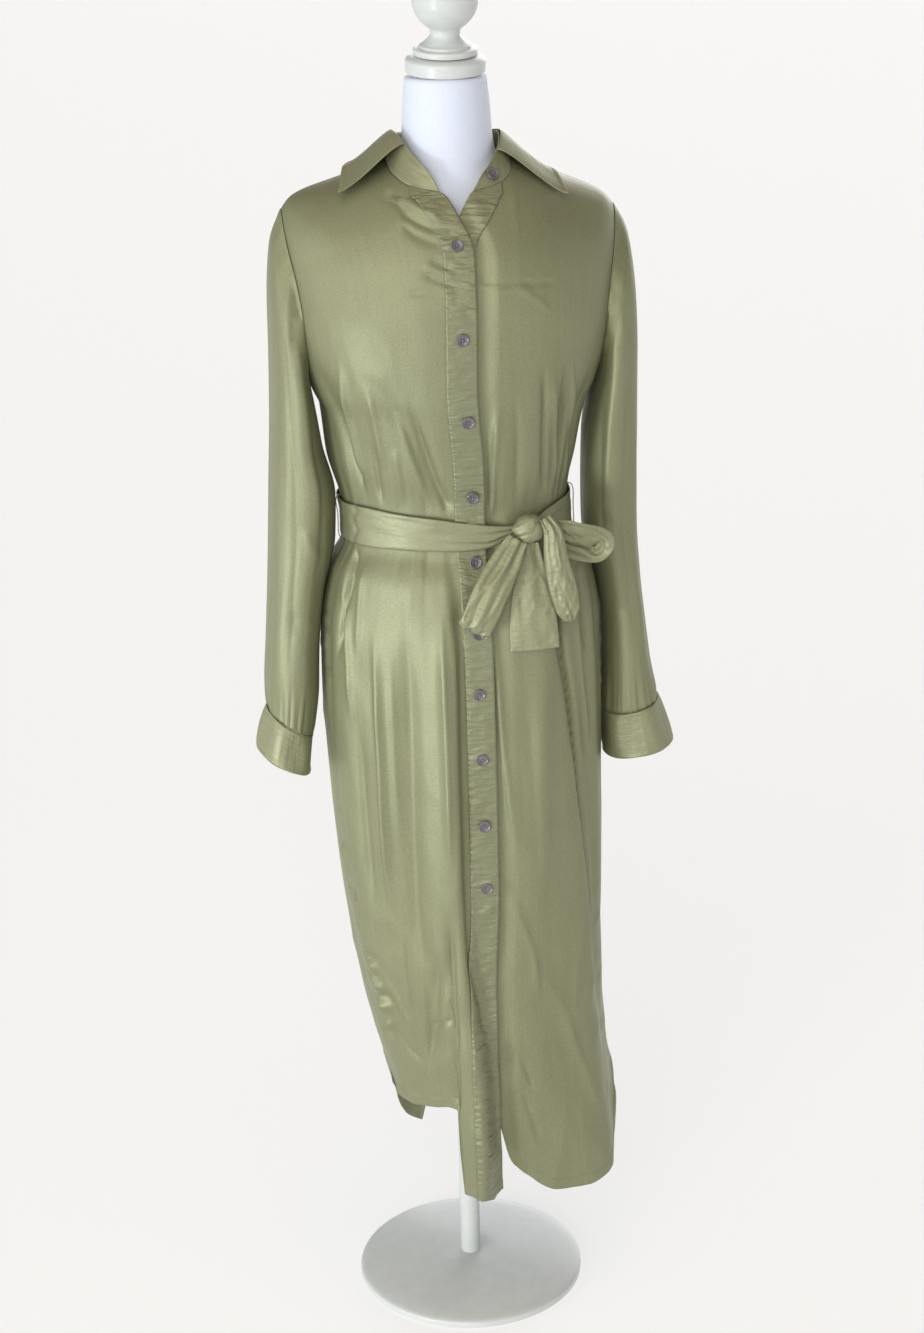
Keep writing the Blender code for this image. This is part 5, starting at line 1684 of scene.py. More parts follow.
@dataclass
class Collar:
    """The stand round the neck and the leaf that falls over it to two points."""

    finishes: Finishes
    bodice: Bodice
    lean: float = 0.10
    lean_half: float = 0.057
    neck_front: float = 1.3690
    stand_foot: float = 0.0003
    leaf_start: float = 0.76
    leaf_rise: float = 0.0012
    leaf_out: float = 0.0014
    bulge: float = 0.0025
    point_bulge: float = 0.0045
    stand_ripple: float = 0.0004
    leaf_wave: float = 0.0006
    seam_dip: float = 0.0004
    wall: float = 0.0010
    columns: int = 190
    stand_rows: int = 14
    leaf_rows: int = 40
    leaf: Array | None = None

    def mirrored(self, table: Table, along: Array) -> Array:
        """A curve given on the wearer's left, read from -1 (right end) to +1 (left end).

        Args:
            table: x, y and z by the place along it.
            along: where to read it.

        Returns:
            Points, one a place.
        """
        reach = np.abs(along)
        x = table.read("x", reach) * np.sign(along)
        lean = self.lean * soft_step((reach - 0.30) / 0.40)
        z = table.read("z", reach) - lean * np.clip(x, -self.lean_half, self.lean_half)
        return np.stack([x, table.read("y", reach), z], axis=-1)

    def neck_seam(self, along: Array) -> Array:
        """The neckline, from the right front (-1) round the back (0) to the left front.

        Args:
            along: where to read it.

        Returns:
            Points, one a place.
        """
        reach, side = np.abs(along), np.where(along < 0, -1.0, 1.0)
        front_share = np.clip((reach - 0.5) / 0.5, 0.0, 1.0)
        rise = RINGS.shoulder_top - (RINGS.shoulder_top - self.neck_front) * front_share ** 0.8
        front = RINGS.point(RINGS.turn_at(side * FRONT_EDGE.read("band_x", rise), rise), rise)
        back_x = self.bodice.high_shoulder_x * np.clip(reach / 0.5, 0.0, 1.0)
        back_turn = 180.0 - side * RINGS.turn_at(back_x, np.full(reach.shape, RINGS.shoulder_top))
        back = RINGS.point(back_turn, self.bodice.back_top(back_turn))
        return np.where((reach > 0.5)[..., None], front, back)

    def build(self) -> None:
        """Makes the stand and the leaf, each one double layer of cloth."""
        along = np.linspace(-1.0, 1.0, self.columns)
        self.build_stand(along)
        self.build_leaf(along)

    def build_stand(self, along: Array) -> None:
        """Makes the stand: straight between the neck seam and the fold, with faint ripples.

        Args:
            along: places from the right end (-1) to the left end (+1).
        """
        foot, top = self.neck_seam(along), self.mirrored(COLLAR_FOLD, along)
        foot = foot + unit(top - foot) * self.stand_foot
        levels = np.linspace(0.0, 1.0, self.stand_rows)[:, None, None]
        stand = foot[None] + (top - foot)[None] * levels
        stand_normals = -grid_normals(stand)
        ripple = self.stand_ripple * smooth_noise(along[None, :] * 22.0, levels[..., 0] * 3.0, 71)
        ripple = ripple * np.sin(levels[..., 0] * math.pi)
        stand = stand + stand_normals * ripple[..., None]
        piece = cloth_piece("sewn_collar_stand", stand[:, ::-1], self.finishes.trim,
                            self.wall)
        put_for(piece, "collar_stand")

    def build_leaf(self, along: Array) -> None:
        """Makes the leaf: it rises out of the fold, bows out and falls to its edge.

        Args:
            along: places from the right end (-1) to the left end (+1).
        """
        fold = self.mirrored(COLLAR_FOLD, along * self.leaf_start)
        edge = self.mirrored(LEAF_EDGE, along)
        outward = unit((edge - fold) * np.array([1.0, 1.0, 0.0]))
        fold = fold + np.array([0.0, 0.0, self.leaf_rise]) + outward * self.leaf_out
        levels = (np.linspace(0.0, 1.0, self.leaf_rows) ** 1.25)[:, None]
        leaf = fold[None] + (edge - fold)[None] * levels[..., None]
        leaf[..., 2] = fold[:, 2] + (edge - fold)[:, 2] * (1.0 - (1.0 - levels) ** 1.6)
        bulge = np.sin(np.pi * levels ** 0.6) * (self.bulge + self.point_bulge * along ** 2)
        leaf = leaf + bulge[..., None] * (outward * 0.6 + np.array([0.0, 0.0, 0.8]))
        wave = self.leaf_wave * smooth_noise(along[None, :] * 7.0, levels * 2.0, 73)
        seam_edge = self.seam_dip * bell(levels - 0.90, 0.035)
        leaf[..., 2] += wave * np.sin(np.pi * levels) - seam_edge
        self.leaf = leaf
        piece = cloth_piece("sewn_collar_leaf", leaf, self.finishes.trim, self.wall)
        put_for(piece, "collar_leaf")


# ------------------------------------------------------------------ belt and bow
BELT_EDGES = Table(("turn", "low", "high"), (
    (-180, -21.5, 21.5), (-90, -22, 22), (-55, -22.5, 22.5), (-30, -21.5, 19), (-8, -20.5, 15),
    (8, -15, 11), (17, -6, 8), (24, -5, 7), (32, -6, 8), (44, -16, 17), (62, -21.5, 21.5), (90, -22, 22),
    (180, -21.5, 21.5),
))
RIBBON_COLUMNS = ("x", "y", "z", "half", "lean", "cup")
LOW_LOOP = Table(RIBBON_COLUMNS, (
    (54.3, -116.5, 997.4, 11, 0, 3), (39.3, -124, 973.1, 17, 0, 4), (21, -136, 942.7, 20, 0, 4),
    (5.2, -143, 911.9, 19, 0, 2), (0.2, -140, 902.9, 18.5, 0, 0), (7, -135.5, 911.4, 18, 0, 0),
    (25.2, -128, 939, 17, 0, 0), (42.4, -117, 968.8, 13, 0, 0), (52.1, -112.5, 984.7, 9, 0, 0),
))
SIDE_LOOP = Table(RIBBON_COLUMNS, (
    (87.5, -110, 1007.1, 8, 0.2, 1), (101.1, -109.5, 1004, 12, 0.3, 2), (121.8, -108, 997.9, 15, 0.4, 2),
    (142, -103, 989.6, 16, 0.4, 0), (149.9, -97.5, 981.7, 16, 0.4, 0), (143.2, -94, 973.2, 15, 0.3, 0),
    (122.3, -96, 975.9, 13, 0.3, 0), (101.6, -97.5, 987.1, 10, 0.2, 0), (88.8, -100, 994.5, 7, 0.2, 0),
))
WIDE_TAIL = Table(RIBBON_COLUMNS, (
    (67.8, -108, 989.4, 10.5, 0, 1), (69.1, -109.5, 961.7, 16, 0, 2), (69.6, -117.5, 930.5, 23, 0, 3),
    (69.8, -124.5, 901, 26.5, 0, 3), (70.8, -127.5, 871.9, 27.5, 0, 2),
))
NARROW_TAIL = Table(RIBBON_COLUMNS, (
    (84.9, -117, 1019.8, 6, 0, 1), (92.5, -122, 1005.3, 10, 0, 4), (95.6, -123.5, 975.1, 13, 0, 6),
    (101.9, -124.5, 944.2, 15, 0, 6), (108, -124.5, 916, 13, 0, 5), (109.9, -124, 902.1, 6, 0, 2),
))


@dataclass
class Belt:
    """The tie belt: the band round the waist, its knot, two loops and two ends."""

    finishes: Finishes
    clearance: float = 0.0036
    wall: float = 0.0010
    ribbon_wall: float = 0.0012
    columns: int = 340
    rows: int = 22
    knot_place: Triple = (0.0680, -0.1103, 1.0060)
    knot_size: Triple = (0.0190, 0.0120, 0.0165)
    knot_turn: float = 25.0
    knot_rows: int = 46
    knot_columns: int = 72
    pleat_out: float = 0.0009
    ray_out: float = 0.0008
    fold_out: float = 0.0008
    ridge_out: float = 0.0016
    edge_dip: float = 0.0004
    least_push: float = 0.0010
    zigzag_turn: float = -66.0
    zigzag_depth: float = 0.0026
    carrier_turns: tuple[float, float] = (-84.0, 86.0)
    carrier_half: float = 0.0265
    carrier_out: float = 0.0048

    def build_band(self) -> None:
        """Makes the band: it narrows and pleats into the knot, and creases elsewhere.

        Ring height runs between the two edges of its table. Pleats are waves across
        the band whose count stays the same while it narrows, and soft creases leave
        the knot along the band.
        """
        turn = (np.arange(self.columns) * 360.0 / self.columns)[None, :]
        wrapped = wrapped_turn(turn)
        share = np.linspace(0.0, 1.0, self.rows)[:, None]
        low, high = BELT_EDGES.read("low", wrapped), BELT_EDGES.read("high", wrapped)
        height = RINGS.waist + low + (high - low) * share
        turn = turn + 0.0 * height
        plain = RINGS.point(turn, height)
        normals = grid_normals(plain, wrap=True)
        from_knot = np.abs(wrapped - self.knot_turn)
        near = bell(from_knot, 26.0)
        pleats = np.cos(share * 17.0 + 0.4 * smooth_noise(wrapped / 9.0, share * 2.0, 81))
        pleats = pleats * near * self.pleat_out
        rays = smooth_noise(wrapped / 30.0, share * 4.5, 83) * self.ray_out * bell(from_knot, 75.0)
        folds = smooth_noise(wrapped / 14.0, share * 2.2 + wrapped / 40.0, 85) * self.fold_out
        sharp = 0.5 - np.abs(smooth_noise(wrapped / 26.0, share * 4.0 + wrapped / 90.0, 87))
        folds = folds + self.ridge_out * sharp * bell(from_knot, 85.0)
        zigzag = self.zigzag_turn + 5.0 * np.abs(np.mod(share * 2.0 + 0.3, 1.0) - 0.5) * 2.0
        folds = folds - self.zigzag_depth * bell(wrapped - zigzag, 1.8, CREASE_POWER)
        edge = -self.edge_dip * (bell(share, 0.04) + bell(1 - share, 0.04))
        worked = np.maximum(pleats + rays + folds, -self.least_push)
        push = self.clearance + self.least_push + worked + edge
        face = plain + normals * push[..., None]
        piece = cloth_piece("tied_belt", face, self.finishes.trim, self.wall, wrap=True)
        put_for(piece, "belt")

    def ribbon(self, path: Table, samples: int, across: int, pleat: float, seed: int) -> Array:
        """A band of cloth carried along a path, with pleats where it is pinched.

        The width lies in the X-Z plane at right angles to the path, turned towards
        -Y by the lean; its side keeps its sense where the path folds back on itself.
        The middle is bowed forward by the cup, and pleats that run along the band
        deepen as it narrows.

        Args:
            path: rows of x, y, z, half width, lean and cup.
            samples: points along.
            across: points across.
            pleat: depth of the pleats.
            seed: picks the creases.

        Returns:
            The band's middle surface, shape (samples, across, 3).
        """
        at = np.linspace(0.0, path.last, samples)
        place = np.stack([path.by_row(name, at) for name in ("x", "y", "z")], axis=-1)
        half, lean, cup = (path.by_row(name, at) for name in ("half", "lean", "cup"))
        heading = unit(np.gradient(place, axis=0))
        side = unit(np.stack([heading[:, 2], np.zeros(samples), -heading[:, 0]], axis=-1))
        turn_back = np.where(np.einsum("nk,nk->n", side[1:], side[:-1]) < 0, -1.0, 1.0)
        side = side * np.concatenate([[1.0], np.cumprod(turn_back)])[:, None]
        side = side * np.cos(lean)[:, None] + np.array([0.0, 1.0, 0.0]) * np.sin(lean)[:, None]
        share = np.linspace(-1.0, 1.0, across)
        points = place[:, None] + side[:, None] * (half[:, None] * share[None])[..., None]
        out = unit(np.cross(side, heading))
        out = out * np.where(out[:, 1] > 0, -1.0, 1.0)[:, None]
        pinch = (1.0 - half / half.max())[:, None]
        run, share = (at / path.last)[:, None], share[None]
        waves = np.cos(share * 7.5 + 1.8 * smooth_noise(run * 4.0, share + 3.0, seed))
        soft = smooth_noise(run * 7.0 + share, share * 2.2, seed + 1)
        sharp = 0.5 - np.abs(smooth_noise(run * 9.0 - share * 1.6, share * 2.6 + run * 3.0, seed + 2))
        bow = cup[:, None] * (1.0 - share ** 2)
        lift = pleat * ((0.30 + pinch) * waves + 0.6 * soft + 1.5 * sharp)
        points = points + out[:, None] * lift[..., None]
        points[..., 1] -= bow
        return points

    def build_knot(self) -> None:
        """Makes the knot: a rounded lump wrapped by slanting folds of the band.

        Radius is the ellipsoid's, raised by waves of a slanted angle, so the folds run
        from the upper right to the lower left round it.
        """
        rows, columns = self.knot_rows, self.knot_columns
        rise = (np.linspace(-0.5, 0.5, rows + 2)[1:-1] * math.pi)[:, None]
        turn = even_turns(columns)[None, :]
        ball = (np.cos(rise) * np.cos(turn), np.cos(rise) * np.sin(turn), np.sin(rise) + 0.0 * turn)
        ball = np.stack(np.broadcast_arrays(*ball), axis=-1)
        x, z = ball[..., 0], ball[..., 2]
        slant = z * 0.8 - x * 0.6
        folds = np.abs(np.sin(slant * 3.1 + 0.9 * smooth_noise(x * 2.0, z * 2.0, 91)))
        pleats = np.abs(np.sin(slant * 9.0 + 1.2 * smooth_noise(x * 3.0, z * 3.0, 95)))
        raise_by = 0.84 + 0.14 * folds ** 0.5 + 0.035 * pleats ** 0.7
        raise_by = raise_by + 0.03 * smooth_noise(x * 4.0, z * 4.0, 93)
        rings = ball * np.array(self.knot_size) * raise_by[..., None] + np.array(self.knot_place)
        mesh = closed_rings("tied_knot", rings)
        across, along = cloth_run(rings, wrap=True)
        layer = mesh.uv_layers.new(name="cloth")
        corner = np.zeros(len(mesh.loops), dtype=np.int32)
        mesh.loops.foreach_get("vertex_index", corner)
        flat = np.stack([across[:, :columns], along[:, :columns]], axis=-1).reshape(-1, 2)
        flat = np.concatenate([flat, np.zeros((2, 2))])
        layer.data.foreach_set("uv", flat[corner].reshape(-1).astype(np.float32))
        piece = finish_piece("tied_knot", mesh, self.finishes.trim)
        put_for(piece, "belt_knot")

    def build_bow(self) -> None:
        """Makes the loops and ends of the bow."""
        for name, path, samples, across, pleat, seed in (
                ("bow_low_loop", LOW_LOOP, 170, 32, 0.0020, 101),
                ("bow_side_loop", SIDE_LOOP, 150, 28, 0.0016, 103),
                ("belt_wide_end", WIDE_TAIL, 110, 40, 0.0006, 105),
                ("belt_narrow_end", NARROW_TAIL, 100, 30, 0.0013, 107)):
            points = self.ribbon(path, samples, across, pleat, seed)
            piece = cloth_piece(f"tied_{name}", points, self.finishes.trim,
                                self.ribbon_wall, offset=0.0)
            put_for(piece, name)

    def loop_lines(self) -> list[Array]:
        """The two thread carriers over the belt, one at each side seam.

        Returns:
            A line for each, from the cloth above the band, over it, to the cloth below.
        """
        lines = []
        rise = np.linspace(-1.0, 1.0, 41)
        height = RINGS.waist + rise * self.carrier_half
        for turn in self.carrier_turns:
            over = RINGS.point(turn, height)
            beside = RINGS.point(turn + 1.0, height)
            out = unit(np.cross(beside - over, np.array([0.0, 0.0, 1.0])))
            bow = np.sqrt(np.clip(1.0 - np.abs(rise) ** 6, 0.0, 1.0))
            away = (self.clearance + self.carrier_out) * bow
            lines.append(over + out * away[:, None])
        return lines

    def build(self) -> None:
        """Makes every piece of the belt."""
        self.build_band()
        self.build_knot()
        self.build_bow()


# ------------------------------------------------------------------ buttons
# radius and height of a button's turned body, as shares of its radius and thickness
DISH = ((0.10, 0.0), (0.80, 0.0), (0.94, 0.18), (1.0, 0.45), (1.0, 0.60), (0.965, 0.86), (0.91, 0.985),
        (0.84, 0.985), (0.77, 0.88), (0.70, 0.72), (0.62, 0.665), (0.36, 0.65))


@dataclass
class Buttons:
    """Four-hole shirt buttons, each sewn on with crossed thread."""

    finishes: Finishes
    radius: float = 0.0070
    thickness: float = 0.0026
    hole: float = 0.00078
    hole_ring: float = 0.0016
    buttonhole: float = 0.0100
    steps: int = 48
    count: int = 10
    thread_apart: float = 0.00022
    slit_half: float = 0.0010
    holes: list[tuple[Array, Array]] = field(default_factory=list)

    def dish(self, place: Array, up: Array, ahead: Array) -> Array:
        """Rings of a button's turned body, from the rim's underside to its well.

        Args:
            place: middle of its back.
            up: outward direction.
            ahead: a direction across it.

        Returns:
            Shape (rings, steps, 3).
        """
        profile = np.array(DISH)
        radius, height = profile[:, 0] * self.radius, profile[:, 1] * self.thickness
        angle = even_turns(self.steps)
        across = np.cross(up, ahead)
        spoke = np.cos(angle)[:, None] * ahead + np.sin(angle)[:, None] * across
        return place + radius[:, None, None] * spoke[None] + height[:, None, None] * up

    def button_mesh(self, name: str, place: Array, up: Array, ahead: Array) -> bpy.types.Mesh:
        """A closed button with four sunk holes.

        The well's floor is a polar grid whose height dips by a steep bell at each of
        the four hole centres.

        Args:
            name: the mesh's name.
            place: middle of its back.
            up: outward direction.
            ahead: a direction across it.

        Returns:
            The mesh.
        """
        body = self.dish(place, up, ahead)
        across = np.cross(up, ahead)
        angle = even_turns(self.steps)
        radii = np.linspace(0.34, 0.03, 12) * self.radius
        x, y = radii[:, None] * np.cos(angle)[None], radii[:, None] * np.sin(angle)[None]
        dip = np.zeros_like(x)
        for turn in np.radians([45.0, 135.0, 225.0, 315.0]):
            away = np.hypot(x - self.hole_ring * math.cos(turn), y - self.hole_ring * math.sin(turn))
            dip = dip + 0.55 * bell(away, self.hole, 6.0)
        height = self.thickness * (0.65 - dip)
        floor = place + x[..., None] * ahead + y[..., None] * across + height[..., None] * up
        return closed_rings(name, np.concatenate([body, floor]))

    def thread_lines(self, place: Array, up: Array, ahead: Array) -> list[Array]:
        """The two crossed thread runs over a button's holes.

        Args:
            place: middle of its back.
            up: outward direction.
            ahead: a direction across it.

        Returns:
            A line for each run.
        """
        across = np.cross(up, ahead)
        top = place + up * self.thickness * 0.74
        lines = []
        for turn in np.radians([45.0, 135.0]):
            way = math.cos(turn) * ahead + math.sin(turn) * across
            for shift in (-self.thread_apart, self.thread_apart):
                beside = np.cross(up, way) * shift
                share = np.linspace(-1.0, 1.0, 9)[:, None]
                bow = (1.0 - share ** 2) * 0.00035 - 0.0006 * np.abs(share) ** 6
                lines.append(top + beside + way * share * self.hole_ring * 1.05 + up * bow)
        return lines

    def build(self) -> list[Array]:
        """Makes each button where its solid is.

        Returns:
            Thread runs for all of them.
        """
        threads: list[Array] = []
        names = [f"button_{number:02d}" for number in range(1, self.count + 1)]
        names += ["stand_button", "right_cuff_button", "left_cuff_button"]
        for name in names:
            place, up = self.seat(name)
            ahead = unit(np.array([0.0, 0.0, 1.0]) - up * up[2])
            mesh = self.button_mesh(f"turned_{name}", place, up, ahead)
            piece = finish_piece(f"turned_{name}", mesh, self.finishes.horn)
            put_for(piece, name)
            threads += self.thread_lines(place, up, ahead)
            if name.startswith("button_"):
                share = np.linspace(-1.0, 1.0, 15)[:, None]
                for shift in (-self.slit_half, self.slit_half):
                    line = place + ahead * share * self.buttonhole + np.cross(up, ahead) * shift
                    self.holes.append((line, np.broadcast_to(up, line.shape)))
        return threads

    def seat(self, name: str) -> tuple[Array, Array]:
        """Reads where a button's solid lies: the middle of its back and its outward axis.

        The axis is the direction in which the flat solid's points spread least.

        Args:
            name: the button's node.

        Returns:
            The middle of its back, and the outward direction.
        """
        node = bpy.data.objects[name]
        points = np.zeros(len(node.data.vertices) * 3)
        node.data.vertices.foreach_get("co", points)
        points = points.reshape(-1, 3)
        middle = (points.min(axis=0) + points.max(axis=0)) / 2.0
        spread = np.unique(points.round(5), axis=0) - middle
        up = np.linalg.eigh(spread.T @ spread)[1][:, 0]
        body = np.array([0.0, 0.0, middle[2]])
        if "cuff" in name:
            body = np.array([math.copysign(0.2, middle[0]), -0.01, middle[2]])
        if np.dot(middle - body, up) < 0:
            up = -up
        return middle - up * self.thickness / 2.0, up


# ------------------------------------------------------------------ stitching
# a stitch is a four-sided spindle: place along and width of its tips and rings, as shares
SPINDLE = ((-1.0, 0.0), (-0.8, 0.8), (0.0, 1.0), (0.8, 0.8), (1.0, 0.0))
STITCH_POINTS = 14


@dataclass
class Stitching:
    """All rows of thread, each a run of short raised stitches."""

    finishes: Finishes
    length: float = 0.0025
    pitch: float = 0.0034
    radius: float = 0.00026
    thread_radius: float = 0.00022
    loop_radius: float = 0.0006
    runs: list[tuple[Array, Array]] = field(default_factory=list)
    holes: list[tuple[Array, Array]] = field(default_factory=list)
    threads: list[Array] = field(default_factory=list)
    loops: list[Array] = field(default_factory=list)

    def add(self, line: Array, normals: Array) -> None:
        """Adds a row of stitches along a line on a face."""
        self.runs.append((line, normals))

    @staticmethod
    def spindle_faces() -> Array:
        """Triangles of one stitch: a fan at each tip and two bands of split quads.

        Returns:
            Corner numbers, shape (triangles, 3).
        """
        corners = []
        for side in range(4):
            after = (side + 1) % 4
            corners.append([0, 1 + side, 1 + after])
            for ring in (1, 5):
                corners.append([ring + side, ring + 4 + side, ring + 4 + after])
                corners.append([ring + side, ring + 4 + after, ring + after])
            corners.append([STITCH_POINTS - 1, 9 + after, 9 + side])
        return np.array(corners)

    def stitch_solids(self) -> tuple[Array, Array]:
        """Every stitch as a slim four-sided spindle of three rings and two tips.

        Returns:
            Points and faces of them all.
        """
        points, faces = [], []
        for line, normals in self.runs + self.holes:
            run = run_along(line)
            middle = np.arange(self.pitch, run[-1] - self.pitch / 2.0, self.pitch)
            if not len(middle):
                continue
            place = read_line(line, run, middle)
            up = unit(read_line(normals, run, middle))
            way = unit(read_line(line, run, middle + 0.001) - place)
            beside = unit(np.cross(up, way))
            rings = []
            for along, wide in SPINDLE:
                middle_point = place + way * along * self.length / 2.0
                middle_point = middle_point + up * self.radius * 0.5 * (wide - 0.4)
                if wide == 0.0:
                    rings.append(middle_point[:, None])
                    continue
                offsets = np.stack([beside, up, -beside, -up], axis=1) * (self.radius * wide)
                rings.append(middle_point[:, None] + offsets)
            spindle = np.concatenate(rings, axis=1)
            count = sum(len(part) for part in points) // STITCH_POINTS
            points.append(spindle.reshape(-1, 3))
            base = (count + np.arange(len(place)))[:, None] * STITCH_POINTS
            faces.append((base[:, None] + self.spindle_faces()[None]).reshape(-1, 3))
        return np.concatenate(points), np.concatenate(faces)

    def thread_solids(self, start: int) -> tuple[Array, Array]:
        """Button threads and belt carriers as six-sided tubes with closed ends.

        Args:
            start: number of points before these.

        Returns:
            Points and triangles.
        """
        points, faces = [], []
        radii = [self.thread_radius] * len(self.threads) + [self.loop_radius] * len(self.loops)
        for line, radius in zip(self.threads + self.loops, radii):
            way = unit(np.gradient(line, axis=0))
            first = unit(np.cross(way, np.array([0.31, 0.52, 0.79])))
            second = np.cross(way, first)
            angle = np.arange(6) * math.pi / 3.0
            cosine, sine = np.cos(angle)[None, :, None], np.sin(angle)[None, :, None]
            ring = cosine * first[:, None] + sine * second[:, None]
            tube = line[:, None] + ring * radius
            base = start + sum(len(part) for part in points)
            quads = grid_faces(len(line), 6, wrap=True) + base
            last = base + (len(line) - 1) * 6
            caps = [[base, base + i + 1, base + i] for i in range(1, 5)]
            caps += [[last, last + i, last + i + 1] for i in range(1, 5)]
            points.append(tube.reshape(-1, 3))
            faces.append(np.concatenate([quads[:, :3], quads[:, [0, 2, 3]], np.array(caps)]))
        return np.concatenate(points), np.concatenate(faces)

    def build(self) -> None:
        """Makes one piece of all stitches and threads."""
        points, faces = self.stitch_solids()
        if self.threads:
            more, more_faces = self.thread_solids(len(points))
            points, faces = np.concatenate([points, more]), np.concatenate([faces, more_faces])
        mesh = mesh_of("sewing_thread", points, faces)
        finish_piece("sewing_thread", mesh, self.finishes.thread)
        LOG.info("sewing_thread: %d faces", len(faces))


# ------------------------------------------------------------------ the dress form
FORM = Table(("half_width", "side_z", "front_depth", "front_z", "back_depth", "back_z"), (
    (138, 820, 105, 820, 103, 820), (140, 880, 104, 880, 103, 880), (126, 940, 93, 940, 90, 940),
    (110, 1000, 84, 1000, 72, 1000), (113, 1050, 89, 1050, 74, 1050), (124, 1100, 100, 1100, 80, 1100),
    (133, 1150, 112, 1150, 86, 1150), (140, 1200, 118, 1200, 88, 1200), (145, 1245, 113, 1250, 87, 1250),
    (149, 1290, 99, 1295, 83, 1295), (151, 1330, 86, 1327, 75, 1333), (148, 1354.5, 77, 1346, 69, 1351),
    (125, 0, 70, 1359, 61, 1360), (95, 0, 64, 1370, 53, 1371), (70, 0, 59, 1380, 47.5, 1381),
    (53, 1401, 54.5, 1395, 46, 1400), (49, 1421, 50.5, 1416, 45.5, 1420),
    (46.8, 1455, 46.5, 1450, 45.5, 1453), (44, 1481, 44, 1481, 44, 1481),
))
FINIAL_PROFILE = Table(("radius", "height"), (
    (34.5, 19), (34.8, 22.2), (34, 25), (28.8, 26.2), (28, 28.5), (25, 30), (19, 35), (16, 40),
    (16.5, 44.5), (24, 51), (31.8, 61), (35.2, 73), (35.2, 83.5), (32, 95), (24, 104.5), (12.5, 110.8),
    (3, 112.9),
))
CAP_PROFILE = Table(("radius", "height"), (
    (38, 0.5), (42, 0.5), (42.8, 1.5), (43, 3), (43, 12), (42.5, 13.8), (41.5, 15), (37, 17), (30, 17.8),
    (10, 18.7),
))
BASE_PROFILE = Table(("radius", "height"), (
    (138.5, 0), (139.6, 0.4), (140, 1.5), (140, 5), (139.4, 7), (137, 9), (127, 12), (90, 17), (30, 22),
    (5, 22),
))


POLE_PROFILE = Table(("radius", "height"), (
    (11.9, 22.3), (12.5, 22.9), (12.5, 421), (12.5, 819.1), (11.9, 819.7),
))


@dataclass
class DressForm:
    """The limbless figure, its cap and finial, and the pole and base that carry it."""

    finishes: Finishes
    shoulder_clearance: float = 0.0042
    cap_lift: float = 0.0049
    cap_tilt: float = 7.0
    neck_top: float = 1.481
    columns: int = 88
    rows: int = 110

    def figure_rings(self) -> Array:
        """Rings of the figure: an ellipse whose front, side and back have own heights.

        Returns:
            Shape (rows, columns, 3), from the foot to the neck.
        """
        at = np.linspace(0.0, FORM.last, self.rows)
        shoulder = RINGS.shoulder_top - SHOULDER.read("drop", FORM.column("half_width"))
        side = FORM.column("side_z")
        side = np.where(side > 0.0, side, shoulder - self.shoulder_clearance)
        side_z = eased(np.arange(len(side), dtype=float), side, at)[:, None]
        size = {name: FORM.by_row(name, at)[:, None] for name in FORM.columns}
        turn = even_turns(self.columns)[None, :]
        sine, cosine = np.sin(turn), np.cos(turn)
        depth = np.where(cosine >= 0, size["front_depth"], size["back_depth"])
        level = np.where(cosine >= 0, size["front_z"], size["back_z"])
        z = side_z + (level - side_z) * np.abs(cosine)
        return np.stack(np.broadcast_arrays(size["half_width"] * sine, -depth * cosine, z), axis=-1)

    def turned_piece(self, name: str, profile: Table, tilt: float = 0.0, lift: float = 0.0,
                     steps: int = 72) -> None:
        """A turned piece of painted wood that replaces its solid.

        Args:
            name: the node.
            profile: radius and height, running up its outer side.
            tilt: forward tilt in degrees.
            lift: height of its foot.
            steps: steps round the axis.
        """
        fine = np.linspace(0.0, profile.last, profile.last * 5 + 1)
        smooth = np.stack([profile.by_row(column, fine) for column in profile.columns], axis=1)
        points = turned_points(smooth, steps)
        turn = np.array(Matrix.Rotation(math.radians(tilt), 3, "X"))
        points = points @ turn.T + np.array([0.0, 0.0, lift])
        piece = finish_piece(f"turned_{name}", closed_rings(f"turned_{name}", points), self.finishes.paint)
        put_for(piece, name)

    def build(self) -> None:
        """Makes the figure and its painted parts."""
        rings = self.figure_rings()
        mesh = closed_rings("padded_figure", rings)
        piece = finish_piece("padded_figure", mesh, self.finishes.jersey)
        put_for(piece, "form_torso")
        lift = self.neck_top + self.cap_lift
        self.turned_piece("neck_cap", CAP_PROFILE, self.cap_tilt, lift)
        self.turned_piece("finial", FINIAL_PROFILE, self.cap_tilt, lift)
        self.turned_piece("pole", POLE_PROFILE, steps=48)
        self.turned_piece("base", BASE_PROFILE, steps=112)


# ------------------------------------------------------------------ the studio
def towards(azimuth: float, elevation: float) -> Vector:
    """Direction of a place seen from the object: 0 is in front, +90 at the wearer's left."""
    turn, rise = math.radians(azimuth), math.radians(elevation)
    return Vector((math.sin(turn) * math.cos(rise), -math.cos(turn) * math.cos(rise), math.sin(rise)))


def facing(away: Vector) -> Matrix:
    """The turn of a lamp or a camera that looks back along a direction."""
    return away.to_track_quat("Z", "Y").to_matrix().to_4x4()


def hang(name: str, data: bpy.types.ID, matrix: Matrix) -> bpy.types.Object:
    """Links a lamp, a camera or a mesh into the scene at its place.

    Args:
        name: the object's name.
        data: the lamp, camera or mesh.
        matrix: its place and turn.

    Returns:
        The new object.
    """
    holder = bpy.data.objects.new(name, data)
    holder.matrix_world = matrix
    bpy.context.scene.collection.objects.link(holder)
    return holder


